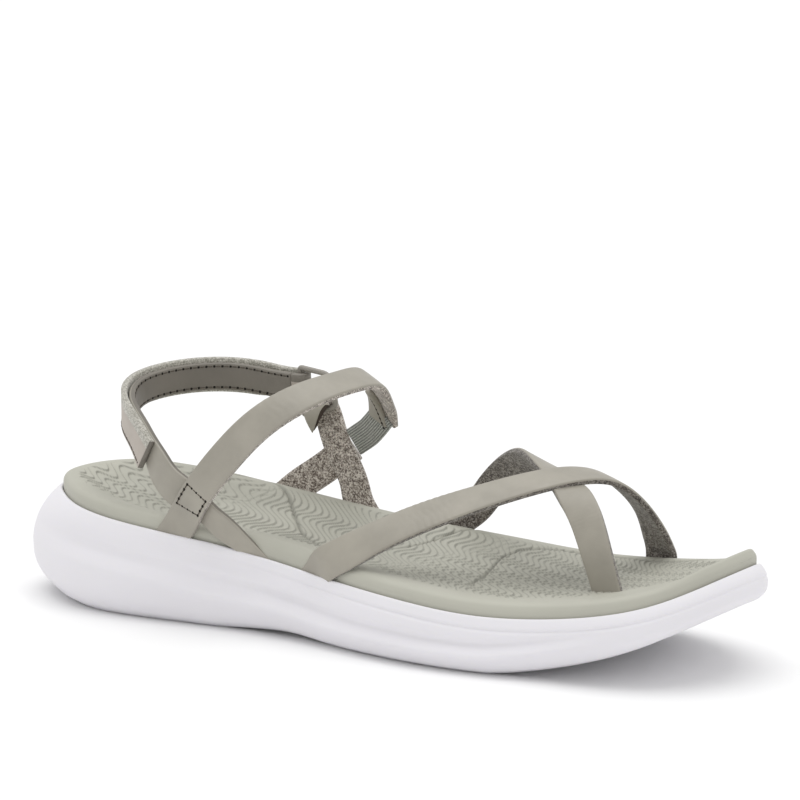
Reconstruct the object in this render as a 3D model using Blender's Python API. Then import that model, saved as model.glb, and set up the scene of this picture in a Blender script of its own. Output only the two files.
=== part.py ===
"""A left strappy sandal: foam sole unit, contoured footbed and a strap upper.

The shape is worked out in millimetres, with the heel end of the footbed at X = 0, the toe towards +X,
the inner side of the foot towards -Y and the floor at Z = 0. At the end every mesh is moved so that the
middle of the whole footprint is the origin.
"""
import math

import bmesh
import bpy
import numpy as np
from mathutils import Vector

# Unit
MM = 0.001

# Driving sizes of the last and the sole, in millimetres
FOOTBED_LENGTH = 248.5
BALL_WIDTH = 81.0
HEEL_HEIGHT = 34.5      # seam between footbed and sole above the floor, at the heel end
BALL_HEIGHT = 18.6      # the same seam under the ball of the foot
TOE_HEIGHT = 34.5       # the same seam at the toe tip
INSTEP_HEIGHT = 52.0    # rise of the instep strap above the rim of the footbed

# Footbed
RIM_HEIGHT = 4.4        # edge of the footbed that shows above the seam
RIM_ROUND = 2.6
RIM_BAND = 4.0          # plain rounded band inside the edge
BOWL_DEPTH = 3.4        # deepest dish, under the heel
BOWL_SPREAD = 15.0      # distance over which the dish comes down
ARCH_RISE = 1.6
SEAT_DEPTH = 2.0        # how far the footbed sits down in the sole
BOTTOM_CHAMFER = 0.6

# Sole
HEEL_BULGE = 10.5       # how far the foam stands out past the seam at the back of the heel
SIDE_BULGE = 3.6        # the same along the sides
TOE_SPRING = 22.5       # underside above the floor at the toe tip
WAIST_LIFT = 1.4
FOOT_IN = 0.8           # bottom edge inside the seam
SOLE_EDGE_ROUND = 2.2
LIP_OUT = 1.1           # top edge of the foam past the footbed
UPPER_FULLNESS = 2.4    # how full the side stays above and below its widest line
LOWER_FULLNESS = 2.6
RIDGE_OUT = 0.9         # soft ridge along the side
CREASE_IN = 0.8         # soft trough above the ridge
LINE_IN = 0.35          # fine line below the top edge
LINE_DROP = 3.8
FLEX_GROOVES = 4        # straight grooves across the tread, under the ball
FLEX_GROOVE_WIDTH = 2.6
FLEX_GROOVE_DEPTH = 1.2
FLEX_GROOVE_SPACING = 11.0
FLEX_START = 0.60       # first groove, as a share of the length
FLEX_MARGIN = 10.0      # left plain at each side

# Straps
STRAP_WIDTH = 11.2
TOE_POST_WIDTH = 10.4
HEEL_STRAP_WIDTH = 9.0
TAIL_WIDTH = 11.6
ARM_WIDTH = 10.6
ELASTIC_WIDTH = 9.6
STRAP_THICKNESS = 2.0
ELASTIC_THICKNESS = 1.2
STRAP_CHAMFER = 0.35
LOOP_RADIUS = 2.4       # middle of a strap folded round the ring
WIRE_RADIUS = 0.9       # wire of the ring
ANCHOR_DEPTH = 6.0      # strap end below the seam
ANCHOR_TUCK = 0.8       # how far the buried end leans in
ANCHOR_PROUD = 1.0      # strap middle outside the rim of the footbed
POST_DEPTH = 7.5        # toe post strap below the surface of the footbed
FLAP_LENGTH = 6.0       # folded end of the front side arm
CLOSURE_LEAD = 1.5      # plain length of the closure before its fold
TAIL_START = 12.0       # length of the closure with the width of the heel strap
TAIL_SPREAD = 14.0      # length over which it widens to the width of the tail
CLOSURE_TRIM = 2.5      # closure ends this far before its last row
FIT_GAP = 0.3
CLOSURE_GAP = 0.65      # between the closure and the heel strap that it lies on

# Resolution
HALF_STEPS = 40
RING_SIDES = 6
BEND_STEPS = 4          # sections round each corner of the ring
RIBBON_STEPS = 3        # sections for each row of a strap table
SLOT_ROWS = 4           # rows of a strap end that its slot follows
CLOSURE_END_ROW = 5     # row of the heel strap, from its anchor, just before the end of the closure

# Half widths of the footbed: share of the length, inner and outer half width as shares of the ball width
OUTLINE = (
    # along, inner, outer
    (0.030, 0.205, 0.235),
    (0.080, 0.345, 0.328),
    (0.170, 0.408, 0.402),
    (0.300, 0.385, 0.410),
    (0.420, 0.392, 0.440),
    (0.550, 0.470, 0.472),
    (0.700, 0.500, 0.498),
    (0.800, 0.455, 0.496),
    (0.900, 0.408, 0.392),
    (0.970, 0.272, 0.222),
)

# Seam height: shares of (heel - ball) and of (toe - ball) that stand above the ball height
SEAM = (
    # along, heel share, toe share
    (0.00, 1.00, 0.00),
    (0.05, 0.99, 0.00),
    (0.15, 0.82, 0.00),
    (0.30, 0.57, 0.00),
    (0.45, 0.28, 0.00),
    (0.60, 0.10, 0.00),
    (0.72, 0.00, 0.00),
    (0.87, 0.00, 0.23),
    (0.95, 0.00, 0.60),
    (1.00, 0.00, 1.00),
)

# Underside: shares of the toe spring and of the waist lift
UNDERSIDE = (
    # along, toe spring, waist lift
    (0.00, 0.00, 0.0),
    (0.30, 0.00, 0.0),
    (0.36, 0.00, 0.7),
    (0.42, 0.00, 1.0),
    (0.47, 0.00, 0.3),
    (0.52, 0.00, 0.0),
    (0.72, 0.00, 0.0),
    (0.79, 0.12, 0.0),
    (0.86, 0.32, 0.0),
    (0.93, 0.60, 0.0),
    (1.00, 1.00, 0.0),
)

# Spans of the length that lie flat on the floor
HEEL_FLAT_END = 0.30
BALL_FLAT = (0.52, 0.72)

# Side wall of the sole: heel and side bulge shares, height share of the widest line and of the ridge,
# strength of the ridge and of the fine line
WALL = (
    # along, heel bulge, side bulge, widest, ridge, ridge strength, line strength
    (0.00, 1.00, 0.0, 0.46, 0.50, 0.0, 0.0),
    (0.03, 0.86, 0.1, 0.46, 0.50, 0.2, 0.0),
    (0.10, 0.36, 0.6, 0.48, 0.50, 0.8, 0.0),
    (0.20, 0.12, 0.9, 0.48, 0.47, 1.0, 0.1),
    (0.35, 0.00, 1.0, 0.44, 0.38, 1.0, 0.4),
    (0.50, 0.00, 1.0, 0.42, 0.32, 1.0, 0.8),
    (0.70, 0.00, 0.9, 0.42, 0.33, 1.0, 1.0),
    (0.80, 0.00, 0.9, 0.45, 0.40, 0.6, 1.0),
    (0.90, 0.00, 0.9, 0.50, 0.45, 0.0, 1.0),
    (1.00, 0.00, 1.0, 0.52, 0.50, 0.0, 0.6),
)

# Strap rows: share of the length, share of the ball width (inner side negative), share of the instep
# height above the rim, face angle (-90 looks to the inner side, 0 up, 90 to the outer side), turn
# towards the heel in degrees, and lift off the foot in strap thicknesses
INSTEP_STRAP = (
    # along, across, rise, face, turn, lift
    (0.283, -0.432, 0.173, -88, 4, 0.8),
    (0.331, -0.438, 0.490, -80, 0, 0.0),
    (0.383, -0.383, 0.782, -60, -6, 0.0),
    (0.4195, -0.262, 0.935, -34, -12, 0.0),
    (0.4395, -0.080, 1.000, -6, -14, 0.0),
    (0.4415, 0.070, 0.985, 18, -12, 0.0),
    (0.4275, 0.205, 0.838, 50, -8, 0.0),
    (0.4145, 0.300, 0.725, 64, -4, 0.0),
    (0.4075, 0.345, 0.615, 72, 0, 0.0),
)
HEEL_STRAP = (
    # along, across, rise, face, turn, lift
    (0.314, -0.432, 0.075, -88, 40, 0.0),
    (0.283, -0.428, 0.160, -87, 24, 0.0),
    (0.2445, -0.405, 0.215, -86, 16, 0.0),
    (0.212, -0.362, 0.310, -84, 26, 0.0),
    (0.173, -0.280, 0.430, -84, 42, 0.0),
    (0.129, -0.160, 0.500, -84, 64, 0.0),
    (0.1075, 0.000, 0.552, 0, 90, 0.0),
    (0.1185, 0.160, 0.592, 84, 66, 0.0),
    (0.150, 0.300, 0.622, 86, 36, 0.0),
    (0.185, 0.370, 0.634, 88, 14, 0.0),
    (0.225, 0.396, 0.632, 86, 2, 0.0),
    (0.2602, 0.3935, 0.644, 82, -4, 0.0),
)
REAR_ARM = (
    # along, across, rise, face, turn, lift
    (0.290, 0.440, 0.112, 88, 0, 1.2),
    (0.314, 0.442, 0.215, 86, -2, 1.2),
    (0.338, 0.434, 0.320, 84, -4, 1.2),
)
FRONT_ARM = (
    # along, across, rise, face, turn, lift
    (0.338, 0.452, 0.097, 88, 0, 0.4),
    (0.3185, 0.452, 0.282, 87, -2, 0.4),
    (0.308, 0.452, 0.395, 85, -4, 0.4),
    (0.2985, 0.458, 0.523, 82, -4, 0.0),
)
ELASTIC = (
    # along, across, rise, face, turn, lift
    (0.342, 0.426, 0.350, 82, -4, 1.25),
    (0.364, 0.408, 0.430, 78, -6, 0.9),
    (0.386, 0.372, 0.515, 74, -8, 0.0),
    (0.398, 0.338, 0.590, 68, -6, -0.9),
    (0.406, 0.322, 0.655, 66, -5, -1.0),
    (0.413, 0.299, 0.725, 62, -4, -1.0),
)
LONG_FOREFOOT_STRAP = (
    # along, across, rise, face, turn, lift
    (0.491, -0.436, 0.040, -80, 0, 0.0),
    (0.528, -0.398, 0.158, -56, -8, 0.0),
    (0.5885, -0.285, 0.332, -32, -16, 0.0),
    (0.649, -0.160, 0.472, -20, -18, 0.0),
    (0.702, -0.045, 0.570, -8, -20, 0.0),
    (0.739, 0.074, 0.604, 8, -20, 0.0),
    (0.764, 0.198, 0.565, 30, -22, 0.0),
    (0.782, 0.311, 0.432, 50, -25, 0.0),
    (0.791, 0.420, 0.240, 70, -22, 0.0),
    (0.792, 0.482, 0.095, 84, -10, 0.0),
)
TOE_POST_STRAP = (
    # along, across, rise, face, turn, lift
    (0.519, 0.485, 0.100, 84, 0, 0.0),
    (0.549, 0.462, 0.265, 76, -2, 0.0),
    (0.5855, 0.407, 0.432, 62, -8, 0.0),
    (0.624, 0.325, 0.548, 46, -14, 0.0),
    (0.660, 0.235, 0.615, 26, -20, -0.3),
    (0.698, 0.140, 0.628, 2, -30, -0.75),
    (0.731, 0.055, 0.598, -26, -40, -0.78),
    (0.7565, -0.010, 0.530, -52, -36, -0.3),
    (0.780, -0.055, 0.430, -70, -18, 0.0),
    (0.800, -0.088, 0.270, -80, -5, 0.0),
    (0.815, -0.105, 0.100, -84, 4, 0.0),
    (0.823, -0.112, 0.000, -86, 6, 0.0),
)

# Ring of the closure: its corners in millimetres from the middle of the bar that the front arm holds
RING_CORNERS = (
    # along, up, corner radius
    (-7.45, -2.62, 1.2),
    (6.3, 2.22, 2.2),
    (4.0, 12.9, 3.0),
    (-7.45, 13.9, 1.0),
)

# Anchors of the straps in the seam: share of the length at the seam, side, and slant as the
# millimetres that the strap moves towards the toe for each millimetre that it rises
ANCHORS = {
    # strap end: along, side, slant
    "instep": (0.2445, -1, 0.75),
    "heel": (0.353, -1, -1.05),
    "rear_arm": (0.245, 1, 1.15),
    "front_arm": (0.360, 1, -0.75),
    "forefoot_inner": (0.465, -1, 0.95),
    "forefoot_outer": (0.792, 1, -0.05),
    "toe_post_outer": (0.478, 1, 1.05),
}

# Colours, roughness
MATERIALS = {
    "sole_unit": ((0.86, 0.85, 0.88), 0.55),
    "footbed": ((0.42, 0.42, 0.35), 0.70),
    "forefoot_straps": ((0.33, 0.30, 0.24), 0.45),
    "rear_straps": ((0.33, 0.30, 0.24), 0.45),
    "side_arms": ((0.33, 0.30, 0.24), 0.45),
    "elastic_gore": ((0.27, 0.30, 0.26), 0.80),
    "closure_tail": ((0.46, 0.41, 0.36), 0.60),
    "closure_ring": ((0.62, 0.60, 0.56), 0.35),
}


def spline(x, xs, ys):
    """Natural cubic spline through the rows (xs, ys), read at x."""
    xs = np.asarray(xs, float)
    ys = np.asarray(ys, float)
    gap = np.diff(xs)
    count = len(xs)
    matrix = np.eye(count)
    right = np.zeros((count,) + ys.shape[1:])
    for i in range(1, count - 1):
        matrix[i, i - 1:i + 2] = (gap[i - 1], 2 * (gap[i - 1] + gap[i]), gap[i])
        right[i] = 6 * ((ys[i + 1] - ys[i]) / gap[i] - (ys[i] - ys[i - 1]) / gap[i - 1])
    bend = np.linalg.solve(matrix, right)
    x = np.clip(np.asarray(x, float), xs[0], xs[-1])
    i = np.clip(np.searchsorted(xs, x) - 1, 0, count - 2)
    h = gap[i]
    a = (xs[i + 1] - x) / h
    b = (x - xs[i]) / h
    if ys.ndim > 1:
        a, b, h = a[..., None], b[..., None], h[..., None]
    return a * ys[i] + b * ys[i + 1] + ((a ** 3 - a) * bend[i] + (b ** 3 - b) * bend[i + 1]) * h * h / 6


def column(table, index):
    """One column of a table as an array."""
    return np.array([row[index] for row in table], float)


def smoothstep(x):
    """Soft step from 0 to 1."""
    x = np.clip(x, 0.0, 1.0)
    return x * x * (3 - 2 * x)


def seam_height(along):
    """Height of the seam between footbed and sole."""
    heel = spline(along, column(SEAM, 0), column(SEAM, 1))
    toe = spline(along, column(SEAM, 0), column(SEAM, 2))
    return BALL_HEIGHT + heel * (HEEL_HEIGHT - BALL_HEIGHT) + toe * (TOE_HEIGHT - BALL_HEIGHT)


def underside_height(along):
    """Height of the tread above the floor: flat under heel and ball, lifted at waist and toe."""
    toe = spline(along, column(UNDERSIDE, 0), column(UNDERSIDE, 1))
    waist = spline(along, column(UNDERSIDE, 0), column(UNDERSIDE, 2))
    flat = (along < HEEL_FLAT_END) | ((along > BALL_FLAT[0]) & (along < BALL_FLAT[1]))
    lift = np.maximum(toe, 0) * TOE_SPRING + np.maximum(waist, 0) * WAIST_LIFT
    return np.where(flat, 0.0, lift)


def half_width(t, side):
    """Half width of the footbed at the angle t, where along = (1 - cos t) / 2."""
    along = column(OUTLINE, 0)
    share = column(OUTLINE, 1 if side < 0 else 2)
    knots = np.arccos(1 - 2 * along)
    fullness = share / np.sin(knots) ** 0.9
    knots = np.concatenate([[0.0], knots, [math.pi]])
    fullness = np.concatenate([fullness[:1], fullness, fullness[-1:]])
    return BALL_WIDTH * spline(t, knots, fullness) * np.abs(np.sin(t)) ** 0.9


def perimeter(steps=HALF_STEPS):
    """Outline of the footbed, inner side from heel to toe and back along the outer side.

    Gives points (x, y), outward unit normals and the share of the length.
    """
    t = np.linspace(0.0, math.pi, steps + 1)
    t[0], t[-1] = 1e-6, math.pi - 1e-6
    back = t[-2:0:-1]
    x = FOOTBED_LENGTH * (1 - np.cos(np.concatenate([t, back]))) / 2
    y = np.concatenate([-half_width(t, -1), half_width(back, 1)])
    points = np.stack([x, y], 1)
    step = np.roll(points, -1, 0) - np.roll(points, 1, 0)
    normals = np.stack([step[:, 1], -step[:, 0]], 1)
    normals /= np.linalg.norm(normals, axis=1)[:, None]
    return points, normals, x / FOOTBED_LENGTH


def edge_distance(x, y):
    """Distance of each point from the outline of the footbed."""
    outline = perimeter(160)[0]
    start = outline
    run = np.roll(outline, -1, 0) - start
    offset = np.stack([x, y], -1)[..., None, :] - start
    share = np.clip((offset * run).sum(-1) / (run * run).sum(-1), 0, 1)
    return np.linalg.norm(offset - share[..., None] * run, axis=-1).min(-1)


def footbed_top(x, y, inset):
    """Upper surface: rounded rim, plain band, then a dish that is deepest under the heel."""
    along = np.clip(x / FOOTBED_LENGTH, 0, 1)
    rim = seam_height(along) + RIM_HEIGHT
    shoulder = np.clip(RIM_ROUND - inset, 0, RIM_ROUND)
    rounding = RIM_ROUND - np.sqrt(RIM_ROUND ** 2 - shoulder ** 2)
    depth = BOWL_DEPTH * (0.42 + 0.58 * smoothstep((0.55 - along) / 0.4))
    bowl = depth * smoothstep((inset - RIM_BAND) / BOWL_SPREAD + 0.08)
    arch = ARCH_RISE * np.exp(-((along - 0.42) / 0.11) ** 2) * smoothstep(-y / (0.35 * BALL_WIDTH))
    return rim - rounding - bowl + arch * smoothstep(inset / RIM_BAND)


def wall_offset(height, along):
    """How far the side of the sole stands out past the seam, at a height share from tread to seam."""
    wall = spline(along, column(WALL, 0), np.array([row[1:] for row in WALL]))
    heel, side, widest, ridge, ridge_strength, line_strength = wall.T
    bulge = HEEL_BULGE * np.clip(heel, 0, 1) + SIDE_BULGE * side
    tall = seam_height(along) - underside_height(along)
    above = np.clip((height - widest) / (1 - widest), 0, 1)
    below = np.clip((widest - height) / widest, 0, 1)
    offset = np.where(height >= widest,
                      LIP_OUT + (bulge - LIP_OUT) * (1 - above ** UPPER_FULLNESS),
                      -FOOT_IN + (bulge + FOOT_IN) * (1 - below ** LOWER_FULLNESS))
    offset += RIDGE_OUT * ridge_strength * np.exp(-((height - ridge) / 0.07) ** 2)
    offset -= CREASE_IN * ridge_strength * np.exp(-((height - ridge - 0.19) / 0.07) ** 2)
    line = 1 - LINE_DROP / tall
    offset -= LINE_IN * line_strength * np.exp(-((height - line) * tall / 0.5) ** 2)
    return offset


def wall_heights(along):
    """Height shares of the rings of the side wall, from the tread to the seam."""
    wall = spline(along, column(WALL, 0), np.array([row[1:] for row in WALL]))
    ridge = wall[:, 3]
    tall = seam_height(along) - underside_height(along)
    line = 1 - LINE_DROP / tall
    crease = ridge + 0.19
    rings = np.stack([0 * along + 0.07, 0.5 * ridge, ridge - 0.07, ridge, ridge + 0.09, crease,
                      0.5 * (crease + 0.09 + line), line - 0.8 / tall, line, line + 0.8 / tall,
                      1 - 1.0 / tall])
    even = np.linspace(0.07, 0.93, len(rings))[:, None]
    return 0.9 * np.sort(rings, axis=0) + 0.1 * even


def make_object(name, vertices, faces, cutter=False):
    """A mesh object in metres with its faces pointing out."""
    shell = bmesh.new()
    corners = [shell.verts.new(Vector(v) * MM) for v in vertices]
    for face in faces:
        shell.faces.new([corners[i] for i in face])
    bmesh.ops.triangulate(shell, faces=shell.faces)
    bmesh.ops.recalc_face_normals(shell, faces=shell.faces)
    mesh = bpy.data.meshes.new(name)
    shell.to_mesh(mesh)
    shell.free()
    thing = bpy.data.objects.new(name, mesh)
    bpy.context.scene.collection.objects.link(thing)
    if cutter:
        thing.hide_render = True
        thing.display_type = "WIRE"
    return thing


def ring_body(rings, caps):
    """Closed body from rings round the perimeter, closed at both ends by rows of chords.

    Each cap gives the number of chord points and a function for their height.
    """
    count = len(rings[0])
    half = count // 2
    vertices = [tuple(p) for ring in rings for p in ring]
    faces = []
    for j in range(len(rings) - 1):
        for i in range(count):
            k = (i + 1) % count
            faces.append((j * count + i, j * count + k, (j + 1) * count + k, (j + 1) * count + i))
    for base, (inner, height) in zip((0, (len(rings) - 1) * count), caps):
        rows = []
        for i in range(half + 1):
            if i in (0, half):
                rows.append([base + i])
                continue
            mate = base + count - i
            a = np.array(vertices[base + i])
            b = np.array(vertices[mate])
            share = np.linspace(0, 1, inner + 2)[1:-1]
            chord = a + share[:, None] * (b - a)
            chord[:, 2] = height(chord[:, 0], chord[:, 1], a[2], b[2], share)
            row = [base + i] + list(range(len(vertices), len(vertices) + inner)) + [mate]
            vertices.extend(tuple(p) for p in chord)
            rows.append(row)
        for low, high in zip(rows[:-1], rows[1:]):
            if len(low) == 1:
                faces.extend((low[0], high[k + 1], high[k]) for k in range(len(high) - 1))
            elif len(high) == 1:
                faces.extend((high[0], low[k], low[k + 1]) for k in range(len(low) - 1))
            else:
                faces.extend((low[k], low[k + 1], high[k + 1], high[k]) for k in range(len(low) - 1))
    return vertices, faces


def ring_at(offset, height):
    """A ring of points round the outline, moved out by offset and set at a height."""
    points, normals, _ = perimeter()
    place = points + normals * np.asarray(offset).reshape(-1, 1)
    return np.column_stack([place, np.broadcast_to(height, len(place))])


def sole_shell():
    """Foam unit: tread, side wall with ridge, crease and line, top lip and the seat of the footbed."""
    along = perimeter()[2]
    seam = seam_height(along)
    tread = underside_height(along)
    tall = seam - tread
    zero = 0 * along
    foot = wall_offset(zero, along)
    rings = [ring_at(foot - SOLE_EDGE_ROUND, tread), ring_at(foot, tread + 0.35 * SOLE_EDGE_ROUND)]
    for share in wall_heights(along):
        rings.append(ring_at(wall_offset(share, along), tread + share * tall))
    rings.append(ring_at(zero + FIT_GAP, seam))
    rings.append(ring_at(zero + FIT_GAP, seam - SEAT_DEPTH))

    def tread_height(x, y, low, high, share):
        """Chords of the tread lie level between their ends."""
        return low + share * (high - low)

    return ring_body(rings, ((2, tread_height), (2, tread_height)))


def footbed_shell():
    """Footbed: level underside in the seat, upright edge, rounded rim and dished top."""
    points, normals, along = perimeter()
    seam = seam_height(along)
    zero = 0 * along
    base = seam - SEAT_DEPTH + FIT_GAP
    rings = [ring_at(zero - BOTTOM_CHAMFER, base), ring_at(zero, base + BOTTOM_CHAMFER)]
    for angle in (0, 30, 60, 90):
        inset = RIM_ROUND * (1 - math.cos(math.radians(angle)))
        height = seam + RIM_HEIGHT - RIM_ROUND * (1 - math.sin(math.radians(angle)))
        rings.append(ring_at(zero - inset, height))
    for inset in (RIM_BAND + 0.5, RIM_BAND + 0.35 * BOWL_SPREAD, RIM_BAND + 0.7 * BOWL_SPREAD):
        if inset < RIM_BAND + 0.5 * BOWL_SPREAD:
            place = points - normals * inset
            rings.append(np.column_stack([place, footbed_top(place[:, 0], place[:, 1], zero + inset)]))

    def level(x, y, low, high, share):
        """Chords of the underside lie level between their ends."""
        return low + share * (high - low)

    def dished(x, y, low, high, share):
        """Chords of the top follow the dish."""
        return footbed_top(x, y, edge_distance(x, y))

    return ring_body(rings, ((2, level), (7, dished)))


def facing(face, turn):
    """Unit normal from the face angle across the foot and the turn towards the heel."""
    face = math.radians(face)
    turn = math.radians(turn)
    flat = math.cos(turn)
    return np.array([-math.sin(turn), flat * math.sin(face), flat * math.cos(face)])


def table_rows(table):
    """Points and normals of a strap table, with each point moved out by its lift."""
    rows = []
    for along, across, rise, face, turn, lift in table:
        height = float(seam_height(along)) + RIM_HEIGHT + rise * INSTEP_HEIGHT
        normal = facing(face, turn)
        point = np.array([along * FOOTBED_LENGTH, across * BALL_WIDTH, height])
        rows.append((point + normal * lift * STRAP_THICKNESS, normal))
    return rows


def anchor_rows(name):
    """Three rows of a strap end: buried, at the seam and at the rim of the footbed."""
    along, side, slant = ANCHORS[name]
    seam = float(seam_height(along))
    rows = []
    for rise, out in ((-ANCHOR_DEPTH, -ANCHOR_TUCK), (0.0, 0.0), (RIM_HEIGHT, ANCHOR_PROUD)):
        x = along * FOOTBED_LENGTH + slant * rise
        here = x / FOOTBED_LENGTH
        angle = math.acos(1 - 2 * here)
        wide = float(half_width(np.array([angle]), side)[0])
        near = float(half_width(np.array([angle + 0.01]), side)[0])
        run = FOOTBED_LENGTH * (math.cos(angle) - math.cos(angle + 0.01)) / 2
        normal = np.array([-(near - wide), side * run, 0.0])
        normal /= np.linalg.norm(normal)
        point = np.array([x, side * wide, seam + rise]) + normal * out
        rows.append((point, normal))
    return rows


def post_rows(table):
    """Rows of the toe post end below the surface of the footbed, straight on from its last rows."""
    (last, normal), (before, _) = table[-1], table[-2]
    run = (last - before) / np.linalg.norm(last - before)
    return [(last + run * POST_DEPTH * share, normal) for share in (0.5, 1.0)]


def run_of(rows):
    """Direction in which the last two rows of a strap run."""
    run = rows[-1][0] - rows[-2][0]
    return run / np.linalg.norm(run)


def fold_rows(rows, inward):
    """Rows of a strap end turned back on itself round a half circle."""
    last, normal = rows[-1]
    run = run_of(rows)
    sign = -1.0 if inward else 1.0
    side = sign * (normal - run * normal.dot(run))
    side /= np.linalg.norm(side)
    folded = []
    for angle in (45, 90, 135, 180):
        a = math.radians(angle)
        point = last + LOOP_RADIUS * (run * math.sin(a) + side * (1 - math.cos(a)))
        folded.append((point, sign * (side * math.cos(a) - run * math.sin(a))))
    return folded


def flap_rows(rows):
    """Fold at the top of the front arm and its sewn end, which closes in on the arm."""
    folded = fold_rows(rows, inward=True)
    run = run_of(rows)
    start, normal = folded[-1]
    close = 2 * LOOP_RADIUS - STRAP_THICKNESS - FIT_GAP
    for share, lean in ((0.5, 0.4), (1.0, 1.0)):
        folded.append((start - run * FLAP_LENGTH * share - normal * close * lean, normal))
    return folded


def closure_rows(heel):
    """Rows of the closure: folded outwards from the end of the heel strap and laid back along it."""
    last, normal = heel[-1]
    run = run_of(heel)
    start = last + run * FIT_GAP
    rows = [(start, normal), (start + run * CLOSURE_LEAD, normal)]
    rows += fold_rows(rows, inward=False)
    laid = STRAP_THICKNESS + CLOSURE_GAP
    lifts = (1.45 * laid,) + (laid,) * len(heel)
    for (point, normal), lift in zip(heel[-2:CLOSURE_END_ROW:-1], lifts):
        rows.append((point + normal * lift, -normal))
    rows[-1] = (rows[-1][0] - run_of(rows) * CLOSURE_TRIM, rows[-1][1])
    return rows


def ring_shell(centre, normal):
    """Wire ring: its corners rounded, in the plane across a normal, with a round section."""
    along = np.array([1.0, 0.0, 0.0]) - normal * normal[0]
    along /= np.linalg.norm(along)
    up = np.cross(along, normal)
    corners = [centre + along * a + up * u for a, u, _ in RING_CORNERS]
    path = []
    for i, corner in enumerate(corners):
        ahead = corners[(i + 1) % len(corners)] - corner
        behind = corners[i - 1] - corner
        ahead /= np.linalg.norm(ahead)
        behind /= np.linalg.norm(behind)
        reach = RING_CORNERS[i][2] / math.tan(math.acos(ahead.dot(behind)) / 2)
        for share in np.linspace(0, 1, BEND_STEPS + 1):
            path.append(corner + behind * reach * (1 - share) ** 2 + ahead * reach * share ** 2)
    path = np.array(path)
    run = np.roll(path, -1, 0) - np.roll(path, 1, 0)
    run /= np.linalg.norm(run, axis=1)[:, None]
    vertices = []
    for point, forward in zip(path, run):
        side = np.cross(normal, forward)
        for k in range(RING_SIDES):
            angle = 2 * math.pi * k / RING_SIDES
            vertices.append(tuple(point + WIRE_RADIUS * (side * math.cos(angle) + normal * math.sin(angle))))
    faces = []
    for j in range(len(path)):
        ahead = (j + 1) % len(path)
        for k in range(RING_SIDES):
            other = (k + 1) % RING_SIDES
            faces.append((j * RING_SIDES + k, j * RING_SIDES + other,
                          ahead * RING_SIDES + other, ahead * RING_SIDES + k))
    return vertices, faces


def flex_cutter():
    """Bars that cut the flex grooves across the tread."""
    vertices = []
    faces = []
    half = BALL_WIDTH / 2 - FLEX_MARGIN
    for i in range(FLEX_GROOVES):
        x = FLEX_START * FOOTBED_LENGTH + i * FLEX_GROOVE_SPACING
        base = len(vertices)
        for z, wide in ((-1.0, 0.5 * FLEX_GROOVE_WIDTH), (FLEX_GROOVE_DEPTH, 0.35 * FLEX_GROOVE_WIDTH)):
            vertices.extend(((x - wide, -half, z), (x + wide, -half, z), (x + wide, half, z), (x - wide, half, z)))
        quads = ((0, 1, 2, 3), (4, 5, 6, 7), (0, 1, 5, 4), (1, 2, 6, 5), (2, 3, 7, 6), (3, 0, 4, 7))
        faces.extend(tuple(base + k for k in quad) for quad in quads)
    return vertices, faces


def strap_sections(rows, steps=RIBBON_STEPS):
    """Centre line, width direction and normal of a strap, smoothed through its rows."""
    points = np.array([p for p, _ in rows])
    normals = np.array([n for _, n in rows])
    chord = np.concatenate([[0], np.cumsum(np.linalg.norm(np.diff(points, axis=0), axis=1))])
    reads = np.concatenate([np.linspace(chord[i], chord[i + 1], steps, endpoint=False)
                            for i in range(len(chord) - 1)] + [chord[-1:]])
    line = spline(reads, chord, points)
    up = spline(reads, chord, normals)
    run = np.gradient(line, reads, axis=0)
    run /= np.linalg.norm(run, axis=1)[:, None]
    wide = np.cross(up, run)
    wide /= np.linalg.norm(wide, axis=1)[:, None]
    up = np.cross(run, wide)
    return line, wide, up, run


def ribbon(sections, width, thickness, grow=0.0):
    """A strap: a chamfered flat section carried along its line, closed at both ends."""
    line, wide, up, run = sections
    line = line.copy()
    line[0] -= run[0] * grow
    line[-1] += run[-1] * grow
    h = thickness / 2 + grow
    c = STRAP_CHAMFER
    corners = ((-1, 0, -h + c), (-1, c, -h), (1, -c, -h), (1, 0, -h + c),
               (1, 0, h - c), (1, -c, h), (-1, c, h), (-1, 0, h - c))
    count = len(corners)
    widths = np.broadcast_to(width, len(line)) / 2 + grow
    vertices = []
    for p, a, n, w in zip(line, wide, up, widths):
        vertices.extend(tuple(p + a * (side * w + inset) + n * v) for side, inset, v in corners)
    faces = [tuple(range(count)), tuple(range(len(vertices) - count, len(vertices)))]
    for j in range(len(line) - 1):
        for i in range(count):
            k = (i + 1) % count
            faces.append((j * count + i, j * count + k, (j + 1) * count + k, (j + 1) * count + i))
    return vertices, faces


def boolean(thing, other, operation, name):
    """Add an exact Boolean to an object."""
    step = thing.modifiers.new(name, "BOOLEAN")
    step.operation = operation
    step.solver = "EXACT"
    step.object = other


def give_material(thing):
    """Give an object its own plain material."""
    colour, roughness = MATERIALS[thing.name]
    material = bpy.data.materials.new(thing.name)
    material.use_nodes = True
    shader = material.node_tree.nodes["Principled BSDF"]
    shader.inputs["Base Color"].default_value = (*colour, 1.0)
    shader.inputs["Roughness"].default_value = roughness
    shader.inputs["Metallic"].default_value = 0.0
    thing.data.materials.append(material)


def strap_cutter(name, rows, width):
    """Slot for the buried end of a strap and its first free row, larger by the fit gap."""
    count = SLOT_ROWS * RIBBON_STEPS + 1
    sections = [part[:count] for part in strap_sections(rows)]
    return make_object(name, *ribbon(sections, width, STRAP_THICKNESS, FIT_GAP), cutter=True)


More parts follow.
